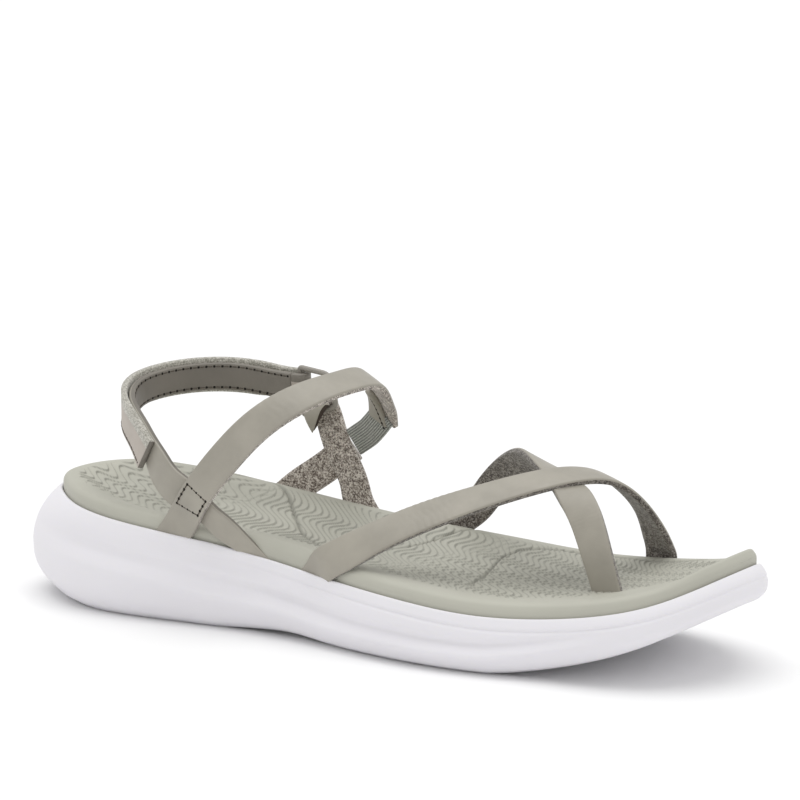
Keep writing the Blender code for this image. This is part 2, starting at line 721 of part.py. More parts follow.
def centre_on_footprint(things):
    """Move every mesh so that the middle of the whole footprint is the origin, on the floor."""
    bpy.context.view_layer.update()
    graph = bpy.context.evaluated_depsgraph_get()
    corners = []
    for thing in things:
        if thing.hide_render:
            continue
        shape = thing.evaluated_get(graph).to_mesh()
        coordinates = np.empty(len(shape.vertices) * 3)
        shape.vertices.foreach_get("co", coordinates)
        corners.append(coordinates.reshape(-1, 3))
    corners = np.concatenate(corners)
    low, high = corners.min(0), corners.max(0)
    shift = Vector((-(low[0] + high[0]) / 2, -(low[1] + high[1]) / 2, -low[2]))
    for thing in things:
        for vertex in thing.data.vertices:
            vertex.co += shift


def build():
    """Make every piece."""
    for thing in list(bpy.data.objects):
        bpy.data.objects.remove(thing, do_unlink=True)

    sole = make_object("sole_unit", *sole_shell())
    footbed = make_object("footbed", *footbed_shell())

    instep = anchor_rows("instep") + table_rows(INSTEP_STRAP)
    heel = anchor_rows("heel") + table_rows(HEEL_STRAP)
    rear_arm = anchor_rows("rear_arm") + table_rows(REAR_ARM)
    front_arm = anchor_rows("front_arm") + table_rows(FRONT_ARM)
    ring_centre = front_arm[-1][0] - front_arm[-1][1] * LOOP_RADIUS
    ring_normal = front_arm[-1][1]
    front_arm += flap_rows(front_arm)
    long_strap = (anchor_rows("forefoot_inner") + table_rows(LONG_FOREFOOT_STRAP)
                  + anchor_rows("forefoot_outer")[::-1])
    toe_post = anchor_rows("toe_post_outer") + table_rows(TOE_POST_STRAP)
    toe_post += post_rows(toe_post)

    crossings = (
        ("rear_straps", instep, STRAP_WIDTH, heel, HEEL_STRAP_WIDTH),
        ("side_arms", front_arm, ARM_WIDTH, rear_arm, ARM_WIDTH),
        ("forefoot_straps", long_strap, STRAP_WIDTH, toe_post, TOE_POST_WIDTH),
    )
    things = [sole, footbed]
    for name, rows, width, other_rows, other_width in crossings:
        strap = make_object(name, *ribbon(strap_sections(rows), width, STRAP_THICKNESS))
        other = make_object(name + "_partner", *ribbon(strap_sections(other_rows), other_width,
                                                       STRAP_THICKNESS), cutter=True)
        boolean(strap, other, "UNION", "sewn crossing")
        things.extend((strap, other))

    things.append(make_object("elastic_gore", *ribbon(strap_sections(table_rows(ELASTIC)), ELASTIC_WIDTH,
                                                      ELASTIC_THICKNESS)))
    closure = strap_sections(closure_rows(heel))
    steps = np.linalg.norm(np.diff(closure[0], axis=0), axis=1)
    length = np.concatenate([[0.0], np.cumsum(steps)])
    spread = smoothstep((length - TAIL_START) / TAIL_SPREAD)
    widths = HEEL_STRAP_WIDTH + (TAIL_WIDTH - HEEL_STRAP_WIDTH) * spread
    things.append(make_object("closure_tail", *ribbon(closure, widths, STRAP_THICKNESS)))
    things.append(make_object("closure_ring", *ring_shell(ring_centre, ring_normal)))

    grooves = make_object("flex_grooves", *flex_cutter(), cutter=True)
    boolean(sole, grooves, "DIFFERENCE", "flex grooves")
    things.append(grooves)

    slots = (
        ("slot_instep", instep, STRAP_WIDTH),
        ("slot_heel", heel, HEEL_STRAP_WIDTH),
        ("slot_rear_arm", rear_arm, ARM_WIDTH),
        ("slot_front_arm", front_arm, ARM_WIDTH),
        ("slot_forefoot_inner", long_strap, STRAP_WIDTH),
        ("slot_forefoot_outer", long_strap[::-1], STRAP_WIDTH),
        ("slot_toe_post_outer", toe_post, TOE_POST_WIDTH),
        ("slot_toe_post", toe_post[::-1], TOE_POST_WIDTH),
    )
    for name, rows, width in slots:
        cutter = strap_cutter(name, rows, width)
        boolean(sole, cutter, "DIFFERENCE", name)
        boolean(footbed, cutter, "DIFFERENCE", name)
        things.append(cutter)

    centre_on_footprint(things)
    for thing in things:
        if thing.name in MATERIALS:
            give_material(thing)


build()
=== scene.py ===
"""A left strappy sandal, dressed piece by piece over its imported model.

Shapes are worked out in millimetres with the heel end of the footbed at X = 0, the toe towards +X, the
inner side of the foot towards -Y and the floor at Z = 0, and are then set in the frame of the model.
"""
import math

import bpy
import numpy as np
from bpy.props import FloatProperty, FloatVectorProperty, PointerProperty
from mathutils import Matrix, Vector


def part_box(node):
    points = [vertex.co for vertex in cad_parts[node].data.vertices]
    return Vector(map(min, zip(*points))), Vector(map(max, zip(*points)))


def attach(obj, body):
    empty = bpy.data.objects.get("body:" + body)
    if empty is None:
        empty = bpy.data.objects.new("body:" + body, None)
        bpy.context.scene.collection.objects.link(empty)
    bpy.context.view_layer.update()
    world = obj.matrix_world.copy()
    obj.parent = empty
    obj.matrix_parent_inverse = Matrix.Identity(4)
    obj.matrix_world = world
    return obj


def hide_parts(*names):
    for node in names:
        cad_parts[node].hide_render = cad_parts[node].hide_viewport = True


bl_info = {
    "name": "Strappy sandal",
    "version": (1, 0, 0),
    "blender": (4, 5, 0),
    "location": "3D View > Sidebar > Sandal",
    "description": "Foam sole, moulded footbed and crossed straps of a left sandal",
    "category": "Add Mesh",
}

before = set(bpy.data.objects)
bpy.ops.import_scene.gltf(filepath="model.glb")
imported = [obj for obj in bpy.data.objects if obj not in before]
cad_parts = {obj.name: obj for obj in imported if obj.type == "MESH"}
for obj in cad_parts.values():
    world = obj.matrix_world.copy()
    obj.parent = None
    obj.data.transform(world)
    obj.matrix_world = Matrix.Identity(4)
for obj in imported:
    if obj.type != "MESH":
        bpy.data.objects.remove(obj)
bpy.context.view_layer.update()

MM = 0.001

# Sizes of the last and the sole, in millimetres
FOOTBED_LENGTH = 248.5
BALL_WIDTH = 81.0
HEEL_HEIGHT = 34.5      # seam between footbed and sole above the floor, at the heel end
BALL_HEIGHT = 18.6      # the same seam under the ball of the foot
TOE_HEIGHT = 34.5       # the same seam at the toe tip
INSTEP_HEIGHT = 52.0    # rise of the instep strap above the rim of the footbed
RIM_HEIGHT = 4.4        # edge of the footbed that shows above the seam
RIM_ROUND = 2.6
RIM_BAND = 4.0          # plain rounded band inside the edge
BOWL_DEPTH = 3.4        # deepest dish, under the heel
BOWL_SPREAD = 15.0      # distance over which the dish comes down
ARCH_RISE = 1.6
TOE_ROLL = 1.2          # roll of the edge at the toe tip
SEAT_DEPTH = 2.0        # how far the footbed sits down in the sole
HEEL_BULGE = 10.5       # how far the foam stands out past the seam at the back of the heel
SIDE_BULGE = 3.6        # the same along the sides
TOE_SPRING = 22.5       # underside above the floor at the toe tip
WAIST_LIFT = 1.4
FOOT_IN = 0.8           # bottom edge inside the seam
SOLE_EDGE_ROUND = 2.2
LIP_OUT = 1.1           # top edge of the foam past the footbed
UPPER_FULLNESS = 2.4    # how full the side stays above and below its widest line
LOWER_FULLNESS = 2.6
RIDGE_OUT = 1.1         # soft ridge along the side
CREASE_IN = 1.2         # soft trough above the ridge
LINE_IN = 0.45          # fine line below the top edge
LINE_DROP = 3.8
SIDE_RIB = 0.17         # height of the fine ribs pressed in the side
SIDE_RIB_PITCH = 2.3
FLEX_GROOVES = 4        # straight grooves across the tread, under the ball
FLEX_GROOVE_WIDTH = 2.6
FLEX_GROOVE_DEPTH = 1.2
FLEX_GROOVE_SPACING = 11.0
FLEX_START = 0.60       # first groove, as a share of the length
FLEX_MARGIN = 10.0      # left plain at each side

# Straps
STRAP_WIDTH = 11.2
TOE_POST_WIDTH = 10.4
HEEL_STRAP_WIDTH = 9.0
TAIL_WIDTH = 11.6
ARM_WIDTH = 10.6
ELASTIC_WIDTH = 9.6
STRAP_THICKNESS = 2.0
ELASTIC_THICKNESS = 1.2
EDGE_STRIP = 0.8        # outermost strip of a strap's faces, next to its rounded edge
LOOP_RADIUS = 2.4       # middle of a strap folded round the ring
WIRE_RADIUS = 0.9       # wire of the ring
ANCHOR_DEPTH = 6.0      # strap end below the seam
ANCHOR_TUCK = 0.8       # how far the buried end leans in
ANCHOR_PROUD = 1.0      # strap middle outside the rim of the footbed
POST_DEPTH = 7.5        # toe post strap below the surface of the footbed
FLAP_LENGTH = 6.0       # folded end of the front side arm
CLOSURE_LEAD = 1.5      # plain length of the closure before its fold
CLOSURE_RISE = 1.45     # next to its fold the closure stands this many times as far off the strap
TAIL_START = 12.0       # length of the closure with the width of the heel strap
TAIL_SPREAD = 14.0      # length over which it widens to the width of the tail
CLOSURE_TRIM = 4.3      # closure ends this far before its last row
CLOSURE_END_ROW = 5     # row of the heel strap, from its anchor, just before the end of the closure
FIT_GAP = 0.3
CLOSURE_GAP = 0.65      # between the closure and the heel strap that it lies on

# Half widths of the footbed as shares of the ball width
OUTLINE = (
    # along, inner, outer
    (0.030, 0.205, 0.235),
    (0.080, 0.345, 0.328),
    (0.170, 0.408, 0.402),
    (0.300, 0.385, 0.410),
    (0.420, 0.392, 0.440),
    (0.550, 0.470, 0.472),
    (0.700, 0.500, 0.498),
    (0.800, 0.455, 0.496),
    (0.900, 0.408, 0.392),
    (0.970, 0.272, 0.222),
)
SEAM = (
    # along, heel share, toe share
    (0.00, 1.00, 0.00),
    (0.05, 0.99, 0.00),
    (0.15, 0.82, 0.00),
    (0.30, 0.57, 0.00),
    (0.45, 0.28, 0.00),
    (0.60, 0.10, 0.00),
    (0.72, 0.00, 0.00),
    (0.87, 0.00, 0.23),
    (0.95, 0.00, 0.60),
    (1.00, 0.00, 1.00),
)
UNDERSIDE = (
    # along, toe spring, waist lift
    (0.00, 0.00, 0.0),
    (0.30, 0.00, 0.0),
    (0.36, 0.00, 0.7),
    (0.42, 0.00, 1.0),
    (0.47, 0.00, 0.3),
    (0.52, 0.00, 0.0),
    (0.72, 0.00, 0.0),
    (0.79, 0.12, 0.0),
    (0.86, 0.32, 0.0),
    (0.93, 0.60, 0.0),
    (1.00, 1.00, 0.0),
)
HEEL_FLAT_END = 0.30
BALL_FLAT = (0.52, 0.72)
WALL = (
    # along, heel bulge, side bulge, widest, ridge, ridge strength, line strength
    (0.00, 1.00, 0.0, 0.46, 0.50, 0.0, 0.0),
    (0.03, 0.86, 0.1, 0.46, 0.50, 0.2, 0.0),
    (0.10, 0.36, 0.6, 0.48, 0.50, 0.8, 0.0),
    (0.20, 0.12, 0.9, 0.48, 0.47, 1.0, 0.1),
    (0.35, 0.00, 1.0, 0.44, 0.38, 1.0, 0.4),
    (0.50, 0.00, 1.0, 0.42, 0.32, 1.0, 0.8),
    (0.70, 0.00, 0.9, 0.42, 0.33, 1.0, 1.0),
    (0.80, 0.00, 0.9, 0.45, 0.40, 0.6, 1.0),
    (0.90, 0.00, 0.9, 0.50, 0.45, 0.0, 1.0),
    (1.00, 0.00, 1.0, 0.52, 0.50, 0.0, 0.6),
)

# Strap rows: share of the length, share of the ball width, share of the instep height above the rim,
# face angle, turn towards the heel in degrees, and lift off the foot in strap thicknesses
INSTEP_STRAP = (
    # along, across, rise, face, turn, lift
    (0.283, -0.432, 0.173, -88, 4, 0.4),
    (0.331, -0.438, 0.490, -80, 0, 0.0),
    (0.383, -0.383, 0.782, -60, -6, 0.0),
    (0.4195, -0.262, 0.930, -34, -14, 0.0),
    (0.4400, -0.080, 0.985, -6, -20, 0.0),
    (0.4435, 0.070, 0.966, 18, -26, 0.0),
    (0.4330, 0.205, 0.832, 48, -28, 0.0),
    (0.4205, 0.300, 0.722, 62, -25, 0.0),
    (0.4125, 0.345, 0.618, 70, -20, 0.0),
)
HEEL_STRAP = (
    # along, across, rise, face, turn, lift
    (0.3076, -0.400, 0.064, -88, 20, 0.0),
    (0.2794, -0.410, 0.153, -87, 18, 0.0),
    (0.2445, -0.405, 0.215, -86, 16, 0.0),
    (0.212, -0.362, 0.310, -84, 26, 0.0),
    (0.173, -0.280, 0.430, -84, 42, 0.0),
    (0.129, -0.160, 0.500, -84, 64, 0.0),
    (0.1075, 0.000, 0.552, 0, 90, 0.0),
    (0.1185, 0.160, 0.592, 84, 66, 0.0),
    (0.150, 0.300, 0.622, 86, 36, 0.0),
    (0.185, 0.370, 0.634, 88, 14, 0.0),
    (0.225, 0.396, 0.632, 86, 2, 0.0),
    (0.2602, 0.3935, 0.644, 82, -4, 0.0),
)
REAR_ARM = (
    # along, across, rise, face, turn, lift
    (0.290, 0.440, 0.112, 88, 0, 0.6),
    (0.314, 0.442, 0.215, 86, -2, 1.0),
    (0.338, 0.434, 0.320, 84, -4, 1.1),
)
FRONT_ARM = (
    # along, across, rise, face, turn, lift
    (0.346, 0.440, 0.097, 88, 0, 0.0),
    (0.3185, 0.452, 0.282, 87, -2, 0.4),
    (0.308, 0.452, 0.395, 85, -4, 0.4),
    (0.2985, 0.458, 0.523, 82, -4, 0.0),
)
ELASTIC = (
    # along, across, rise, face, turn, lift
    (0.342, 0.426, 0.350, 82, -4, 1.25),
    (0.364, 0.408, 0.430, 78, -10, 0.9),
    (0.386, 0.372, 0.510, 70, -20, 0.0),
    (0.4035, 0.335, 0.588, 67, -22, 0.0),
    (0.4170, 0.308, 0.655, 64, -24, 0.0),
)
LONG_FOREFOOT_STRAP = (
    # along, across, rise, face, turn, lift
    (0.491, -0.436, 0.040, -80, 0, 0.0),
    (0.528, -0.398, 0.158, -56, -8, 0.0),
    (0.5885, -0.285, 0.332, -32, -16, 0.0),
    (0.649, -0.160, 0.472, -20, -18, 0.0),
    (0.702, -0.045, 0.570, -8, -20, 0.0),
    (0.739, 0.074, 0.604, 8, -20, 0.0),
    (0.764, 0.198, 0.565, 30, -22, 0.0),
    (0.782, 0.311, 0.432, 50, -25, 0.0),
    (0.791, 0.420, 0.240, 70, -22, 0.0),
    (0.792, 0.482, 0.095, 84, -10, 0.0),
)
TOE_POST_STRAP = (
    # along, across, rise, face, turn, lift
    (0.519, 0.485, 0.100, 84, 0, 0.0),
    (0.549, 0.462, 0.265, 76, -2, 0.0),
    (0.5855, 0.407, 0.432, 62, -8, 0.0),
    (0.624, 0.325, 0.548, 46, -14, 0.0),
    (0.660, 0.235, 0.615, 26, -20, -0.3),
    (0.698, 0.140, 0.628, 2, -30, -0.75),
    (0.731, 0.055, 0.598, -26, -40, -0.78),
    (0.7565, -0.010, 0.530, -52, -36, -0.3),
    (0.780, -0.055, 0.430, -70, -18, 0.0),
    (0.800, -0.088, 0.270, -80, -5, 0.0),
    (0.815, -0.105, 0.100, -84, 4, 0.0),
    (0.823, -0.112, 0.000, -86, 6, 0.0),
)
RING_CORNERS = (
    # along, up, corner radius
    (-7.45, -2.62, 1.2),
    (6.3, 2.22, 2.2),
    (4.0, 12.9, 3.0),
    (-7.45, 13.9, 1.0),
)
ANCHORS = {
    # strap end: along, side, slant
    "instep": (0.2445, -1, 0.75),
    "heel": (0.360, -1, -1.25),
    "rear_arm": (0.245, 1, 1.15),
    "front_arm": (0.368, 1, -0.75),
    "long": (0.465, -1, 0.95),
    "long_end": (0.792, 1, -0.05),
    "toe_post": (0.478, 1, 1.05),
}

# Grooves moulded in the footbed, and the edge where its pattern starts on the inner side, as points
# along the foot and across it, in millimetres
ARCH_GROOVE = ((44.0, 29.8), (52.0, 31.2), (59.0, 30.6), (66.0, 26.0), (74.1, 17.0), (84.4, 3.8),
               (92.0, -5.3), (99.2, -11.3), (110.0, -18.5), (122.0, -27.0))
BALL_GROOVE = ((118.0, -4.0), (123.0, 5.0), (125.4, 14.0), (126.4, 24.0), (130.0, 34.0), (137.0, 41.0))
TOE_GROOVE_ACROSS = ((161.7, -18.6), (159.9, -7.5), (154.5, 10.0), (152.5, 19.5), (154.0, 27.5),
                     (160.5, 32.0))
TOE_GROOVE_ALONG = ((172.0, 34.5), (186.0, 35.5), (203.0, 33.0), (218.0, 31.0))
PATTERN_EDGE = ((30.0, -18.0), (60.0, -24.0), (100.0, -24.0), (150.0, -30.6), (168.0, -29.9),
                (182.0, -28.7), (190.0, -22.3), (203.0, -14.7), (212.0, -8.2), (225.0, 2.0))

# Stitch rows as points along their strap and across it, in millimetres
BOX_CORNERS = ((18.6, 4.2), (27.2, 4.2), (28.2, -4.6), (21.8, -4.6))
BOX_SPACING = 2.1
TAB_SEAM = ((124.0, 3.2), (136.0, -2.6))
TAB_SPACING = 1.9


def spline(x, xs, ys):
    """Natural cubic spline through the rows (xs, ys), read at x."""
    xs = np.asarray(xs, float)
    ys = np.asarray(ys, float)
    gap = np.diff(xs)
    count = len(xs)
    matrix = np.eye(count)
    right = np.zeros((count,) + ys.shape[1:])
    for i in range(1, count - 1):
        matrix[i, i - 1:i + 2] = (gap[i - 1], 2 * (gap[i - 1] + gap[i]), gap[i])
        right[i] = 6 * ((ys[i + 1] - ys[i]) / gap[i] - (ys[i] - ys[i - 1]) / gap[i - 1])
    bend = np.linalg.solve(matrix, right)
    x = np.clip(np.asarray(x, float), xs[0], xs[-1])
    i = np.clip(np.searchsorted(xs, x) - 1, 0, count - 2)
    h = gap[i]
    a = (xs[i + 1] - x) / h
    b = (x - xs[i]) / h
    if ys.ndim > 1:
        a, b, h = a[..., None], b[..., None], h[..., None]
    return a * ys[i] + b * ys[i + 1] + ((a ** 3 - a) * bend[i] + (b ** 3 - b) * bend[i + 1]) * h * h / 6


def column(table, index):
    """One column of a table as an array."""
    return np.array([row[index] for row in table], float)


def smoothstep(x):
    """Soft step from 0 to 1: three squares less two cubes."""
    x = np.clip(x, 0.0, 1.0)
    return x * x * (3 - 2 * x)


def bell(x, width):
    """Bell curve of a distance: e to minus the square of the distance over the width."""
    return np.exp(-(x / width) ** 2)


def seam_height(along):
    """Height of the seam between footbed and sole: the ball height, plus heel and toe shares."""
    heel = spline(along, column(SEAM, 0), column(SEAM, 1))
    toe = spline(along, column(SEAM, 0), column(SEAM, 2))
    return BALL_HEIGHT + heel * (HEEL_HEIGHT - BALL_HEIGHT) + toe * (TOE_HEIGHT - BALL_HEIGHT)


def underside_height(along):
    """Height of the tread above the floor: flat under heel and ball, lifted at waist and toe."""
    toe = spline(along, column(UNDERSIDE, 0), column(UNDERSIDE, 1))
    waist = spline(along, column(UNDERSIDE, 0), column(UNDERSIDE, 2))
    flat = (along < HEEL_FLAT_END) | ((along > BALL_FLAT[0]) & (along < BALL_FLAT[1]))
    lift = np.maximum(toe, 0) * TOE_SPRING + np.maximum(waist, 0) * WAIST_LIFT
    return np.where(flat, 0.0, lift)


def half_width(t, side):
    """Half width of the footbed at the angle t, where along = (1 - cos t) / 2: fullness times sine."""
    along = column(OUTLINE, 0)
    share = column(OUTLINE, 1 if side < 0 else 2)
    knots = np.arccos(1 - 2 * along)
    fullness = share / np.sin(knots) ** 0.9
    knots = np.concatenate([[0.0], knots, [math.pi]])
    fullness = np.concatenate([fullness[:1], fullness, fullness[-1:]])
    return BALL_WIDTH * spline(t, knots, fullness) * np.abs(np.sin(t)) ** 0.9


def perimeter(steps):
    """Outline of the footbed, inner side from heel to toe and back along the outer side."""
    t = np.linspace(0.0, math.pi, steps + 1)
    t[0], t[-1] = 1e-6, math.pi - 1e-6
    back = t[-2:0:-1]
    x = FOOTBED_LENGTH * (1 - np.cos(np.concatenate([t, back]))) / 2
    y = np.concatenate([-half_width(t, -1), half_width(back, 1)])
    points = np.stack([x, y], 1)
    step = np.roll(points, -1, 0) - np.roll(points, 1, 0)
    normals = np.stack([step[:, 1], -step[:, 0]], 1)
    normals /= np.linalg.norm(normals, axis=1)[:, None]
    return points, normals, np.clip(x / FOOTBED_LENGTH, 0, 1)


def distance_to_line(x, y, line, closed=False):
    """Distance of each point from a line of points."""
    start = np.asarray(line, float)
    end = np.roll(start, -1, 0)
    if not closed:
        start, end = start[:-1], end[:-1]
    run = end - start
    flat = np.stack([np.ravel(x), np.ravel(y)], 1)
    nearest = np.full(len(flat), 1e9)
    for a, r in zip(start, run):
        offset = flat - a
        share = np.clip((offset @ r) / (r @ r), 0, 1)
        nearest = np.minimum(nearest, np.linalg.norm(offset - share[:, None] * r, axis=1))
    return nearest.reshape(np.shape(x))


def footbed_top(x, y, inset):
    """Upper surface: rounded rim, plain band, then a dish that is deepest under the heel."""
    along = np.clip(x / FOOTBED_LENGTH, 0, 1)
    rim = seam_height(along) + RIM_HEIGHT
    shoulder = np.clip(RIM_ROUND - inset, 0, RIM_ROUND)
    rounding = RIM_ROUND - np.sqrt(RIM_ROUND ** 2 - shoulder ** 2)
    depth = BOWL_DEPTH * (0.42 + 0.58 * smoothstep((0.55 - along) / 0.4))
    bowl = depth * smoothstep((inset - RIM_BAND) / BOWL_SPREAD + 0.08)
    arch = ARCH_RISE * bell(along - 0.42, 0.11) * smoothstep(-y / (0.35 * BALL_WIDTH))
    roll = TOE_ROLL * bell(inset - 3.0, 3.0) * smoothstep((along - 0.93) / 0.05) * smoothstep(inset / 1.5)
    return rim - rounding - bowl + arch * smoothstep(inset / RIM_BAND) + roll


def wall_offset(height, along):
    """How far the side of the sole stands out past the seam, at a height share from tread to seam."""
    wall = spline(along, column(WALL, 0), np.array([row[1:] for row in WALL]))
    heel, side, widest, ridge, ridge_strength, line_strength = np.moveaxis(wall, -1, 0)
    bulge = HEEL_BULGE * np.clip(heel, 0, 1) + SIDE_BULGE * side
    tall = seam_height(along) - underside_height(along)
    above = np.clip((height - widest) / (1 - widest), 0, 1)
    below = np.clip((widest - height) / widest, 0, 1)
    offset = np.where(height >= widest,
                      LIP_OUT + (bulge - LIP_OUT) * (1 - above ** UPPER_FULLNESS),
                      -FOOT_IN + (bulge + FOOT_IN) * (1 - below ** LOWER_FULLNESS))
    offset += RIDGE_OUT * ridge_strength * bell(height - ridge, 0.09)
    offset -= CREASE_IN * ridge_strength * bell(height - ridge - 0.19, 0.08)
    line = 1 - LINE_DROP / tall
    offset -= LINE_IN * line_strength * bell((height - line) * tall, 0.5)
    return offset


def facing(face, turn):
    """Unit normal from the face angle across the foot and the turn towards the heel."""
    face = math.radians(face)
    turn = math.radians(turn)
    flat = math.cos(turn)
    return np.array([-math.sin(turn), flat * math.sin(face), flat * math.cos(face)])


def table_rows(table):
    """Points and normals of a strap table, with each point moved out by its lift."""
    rows = []
    for along, across, rise, face, turn, lift in table:
        height = float(seam_height(along)) + RIM_HEIGHT + rise * INSTEP_HEIGHT
        normal = facing(face, turn)
        point = np.array([along * FOOTBED_LENGTH, across * BALL_WIDTH, height])
        rows.append((point + normal * lift * STRAP_THICKNESS, normal))
    return rows


def anchor_rows(name):
    """Three rows of a strap end: buried, at the seam and at the rim of the footbed."""
    along, side, slant = ANCHORS[name]
    seam = float(seam_height(along))
    rows = []
    for rise, out in ((-ANCHOR_DEPTH, -ANCHOR_TUCK), (0.0, 0.0), (RIM_HEIGHT, ANCHOR_PROUD)):
        x = along * FOOTBED_LENGTH + slant * rise
        here = x / FOOTBED_LENGTH
        angle = math.acos(1 - 2 * here)
        wide = float(half_width(np.array([angle]), side)[0])
        near = float(half_width(np.array([angle + 0.01]), side)[0])
        run = FOOTBED_LENGTH * (math.cos(angle) - math.cos(angle + 0.01)) / 2
        normal = np.array([-(near - wide), side * run, 0.0])
        normal /= np.linalg.norm(normal)
        point = np.array([x, side * wide, seam + rise]) + normal * out
        rows.append((point, normal))
    return rows


def post_rows(table):
    """Rows of the toe post end below the surface of the footbed, straight on from its last rows."""
    (last, normal), (before, _) = table[-1], table[-2]
    run = (last - before) / np.linalg.norm(last - before)
    return [(last + run * POST_DEPTH * share, normal) for share in (0.5, 1.0)]


def run_of(rows):
    """Direction in which the last two rows of a strap run."""
    run = rows[-1][0] - rows[-2][0]
    return run / np.linalg.norm(run)


def fold_rows(rows, inward):
    """Rows of a strap end turned back on itself round a half circle."""
    last, normal = rows[-1]
    run = run_of(rows)
    sign = -1.0 if inward else 1.0
    side = sign * (normal - run * normal.dot(run))
    side /= np.linalg.norm(side)
    folded = []
    for angle in (45, 90, 135, 180):
        a = math.radians(angle)
        point = last + LOOP_RADIUS * (run * math.sin(a) + side * (1 - math.cos(a)))
        folded.append((point, sign * (side * math.cos(a) - run * math.sin(a))))
    return folded


def flap_rows(rows):
    """Fold at the top of the front arm and its sewn end, which closes in on the arm."""
    folded = fold_rows(rows, inward=True)
    run = run_of(rows)
    start, normal = folded[-1]
    close = 2 * LOOP_RADIUS - STRAP_THICKNESS - FIT_GAP
    for share, lean in ((0.5, 0.1), (1.0, 0.45)):
        folded.append((start - run * FLAP_LENGTH * share - normal * close * lean, normal))
    return folded


def closure_rows(heel):
    """Rows of the closure: folded outwards from the end of the heel strap and laid back along it."""
    last, normal = heel[-1]
    run = run_of(heel)
    start = last + run * FIT_GAP
    rows = [(start, normal), (start + run * CLOSURE_LEAD, normal)]
    rows += fold_rows(rows, inward=False)
    laid = STRAP_THICKNESS + CLOSURE_GAP
    lifts = (CLOSURE_RISE * laid,) + (laid,) * len(heel)
    for (point, normal), lift in zip(heel[-2:CLOSURE_END_ROW:-1], lifts):
        rows.append((point + normal * lift, -normal))
    rows[-1] = (rows[-1][0] - run_of(rows) * CLOSURE_TRIM, rows[-1][1])
    return rows


def strap_sections(rows, steps):
    """Centre line, width direction, normal and length run of a strap, smoothed through its rows."""
    points = np.array([p for p, _ in rows])
    normals = np.array([n for _, n in rows])
    chord = np.concatenate([[0], np.cumsum(np.linalg.norm(np.diff(points, axis=0), axis=1))])
    reads = np.concatenate([np.linspace(chord[i], chord[i + 1], steps, endpoint=False)
                            for i in range(len(chord) - 1)] + [chord[-1:]])
    line = spline(reads, chord, points)
    up = spline(reads, chord, normals)
    run = np.gradient(line, reads, axis=0)
    run /= np.linalg.norm(run, axis=1)[:, None]
    wide = np.cross(up, run)
    wide /= np.linalg.norm(wide, axis=1)[:, None]
    up = np.cross(run, wide)
    length = np.concatenate([[0], np.cumsum(np.linalg.norm(np.diff(line, axis=0), axis=1))])
    return line, wide, up, length


def sections_at(places, sections):
    """Centre, width direction and normal of a strap at some lengths along it."""
    *parts, length = sections
    return [np.stack([np.interp(places, length, part[:, k]) for k in range(3)], 1) for part in parts]


# Place of the shapes in the frame of the model: the heel end and the middle line of the footbed
FOOTBED_LOW, FOOTBED_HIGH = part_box("footbed")
WIDEST_OUTER = half_width(np.linspace(0.5, 2.6, 400), 1).max()
PLACE = np.array([FOOTBED_LOW.x / MM, FOOTBED_HIGH.y / MM - WIDEST_OUTER, 0.0])


def new_piece(name, vertices, faces, materials, node, picks=None, sheet=None, lines=None):
    """A finished mesh in the frame of the model, which dresses a node.

    Vertices are in millimetres and faces are arrays of index rows. The picks are material indices, the
    sheet is the UV map, and the lines say how much painted shade each place gets, from 0 to 1.
    """
    mesh = bpy.data.meshes.new(name)
    vertices = (np.asarray(vertices, float) + PLACE) * MM
    corners = np.concatenate([np.ravel(f) for f in faces])
    sizes = np.concatenate([np.full(len(f), f.shape[1]) for f in faces])
    mesh.vertices.add(len(vertices))
    mesh.vertices.foreach_set("co", vertices.ravel())
    mesh.loops.add(len(corners))
    mesh.polygons.add(len(sizes))
    mesh.loops.foreach_set("vertex_index", corners)
    mesh.polygons.foreach_set("loop_start", np.cumsum(sizes) - sizes)
    mesh.polygons.foreach_set("loop_total", sizes)
    mesh.polygons.foreach_set("use_smooth", np.ones(len(sizes), bool))
    for material in materials:
        mesh.materials.append(material)
    if picks is not None:
        mesh.polygons.foreach_set("material_index", np.concatenate([np.ravel(p) for p in picks]))
    if sheet is not None:
        layer = mesh.uv_layers.new(name="UVMap")
        layer.data.foreach_set("uv", sheet[corners].ravel())
    if lines is not None:
        # The line attribute carries painted shade, which the material mixes into the colour
        mesh.attributes.new("line", "FLOAT", "POINT").data.foreach_set("value", lines)
    mesh.update()
    mesh.validate()
    piece = bpy.data.objects.new(name, mesh)
    bpy.context.scene.collection.objects.link(piece)
    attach(piece, "root")
    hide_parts(node)
    return piece


def grid_faces(rows, columns, closed=False):
    """Quads of a grid of points stored row by row, joined round at the last column if closed."""
    first = np.arange(rows - 1)[:, None] * columns
    place = np.arange(columns if closed else columns - 1)[None, :]
    a = first + place
    b = first + (place + 1) % columns
    return np.stack([a, b, b + columns, a + columns], -1).reshape(-1, 4)


# Materials

def make_material(name):
    """A new node material: its nodes, links, shader and a helper that adds a node."""
    material = bpy.data.materials.new(name)
    material.use_nodes = True
    nodes = material.node_tree.nodes
    links = material.node_tree.links
    shader = nodes["Principled BSDF"]

    def add(kind, **values):
        node = nodes.new(kind)
        for key, value in values.items():
            if hasattr(node, key):
                setattr(node, key, value)
            else:
                node.inputs[key.replace("_", " ")].default_value = value
        return node

    return material, links, shader, add


def noise(add, links, vector, scale, detail=3.0, roughness=0.5):
    """Noise of a scale per metre over a vector."""
    node = add("ShaderNodeTexNoise")
    node.inputs["Scale"].default_value = scale
    node.inputs["Detail"].default_value = detail
    node.inputs["Roughness"].default_value = roughness
    links.new(vector, node.inputs["Vector"])
    return node.outputs["Fac"]


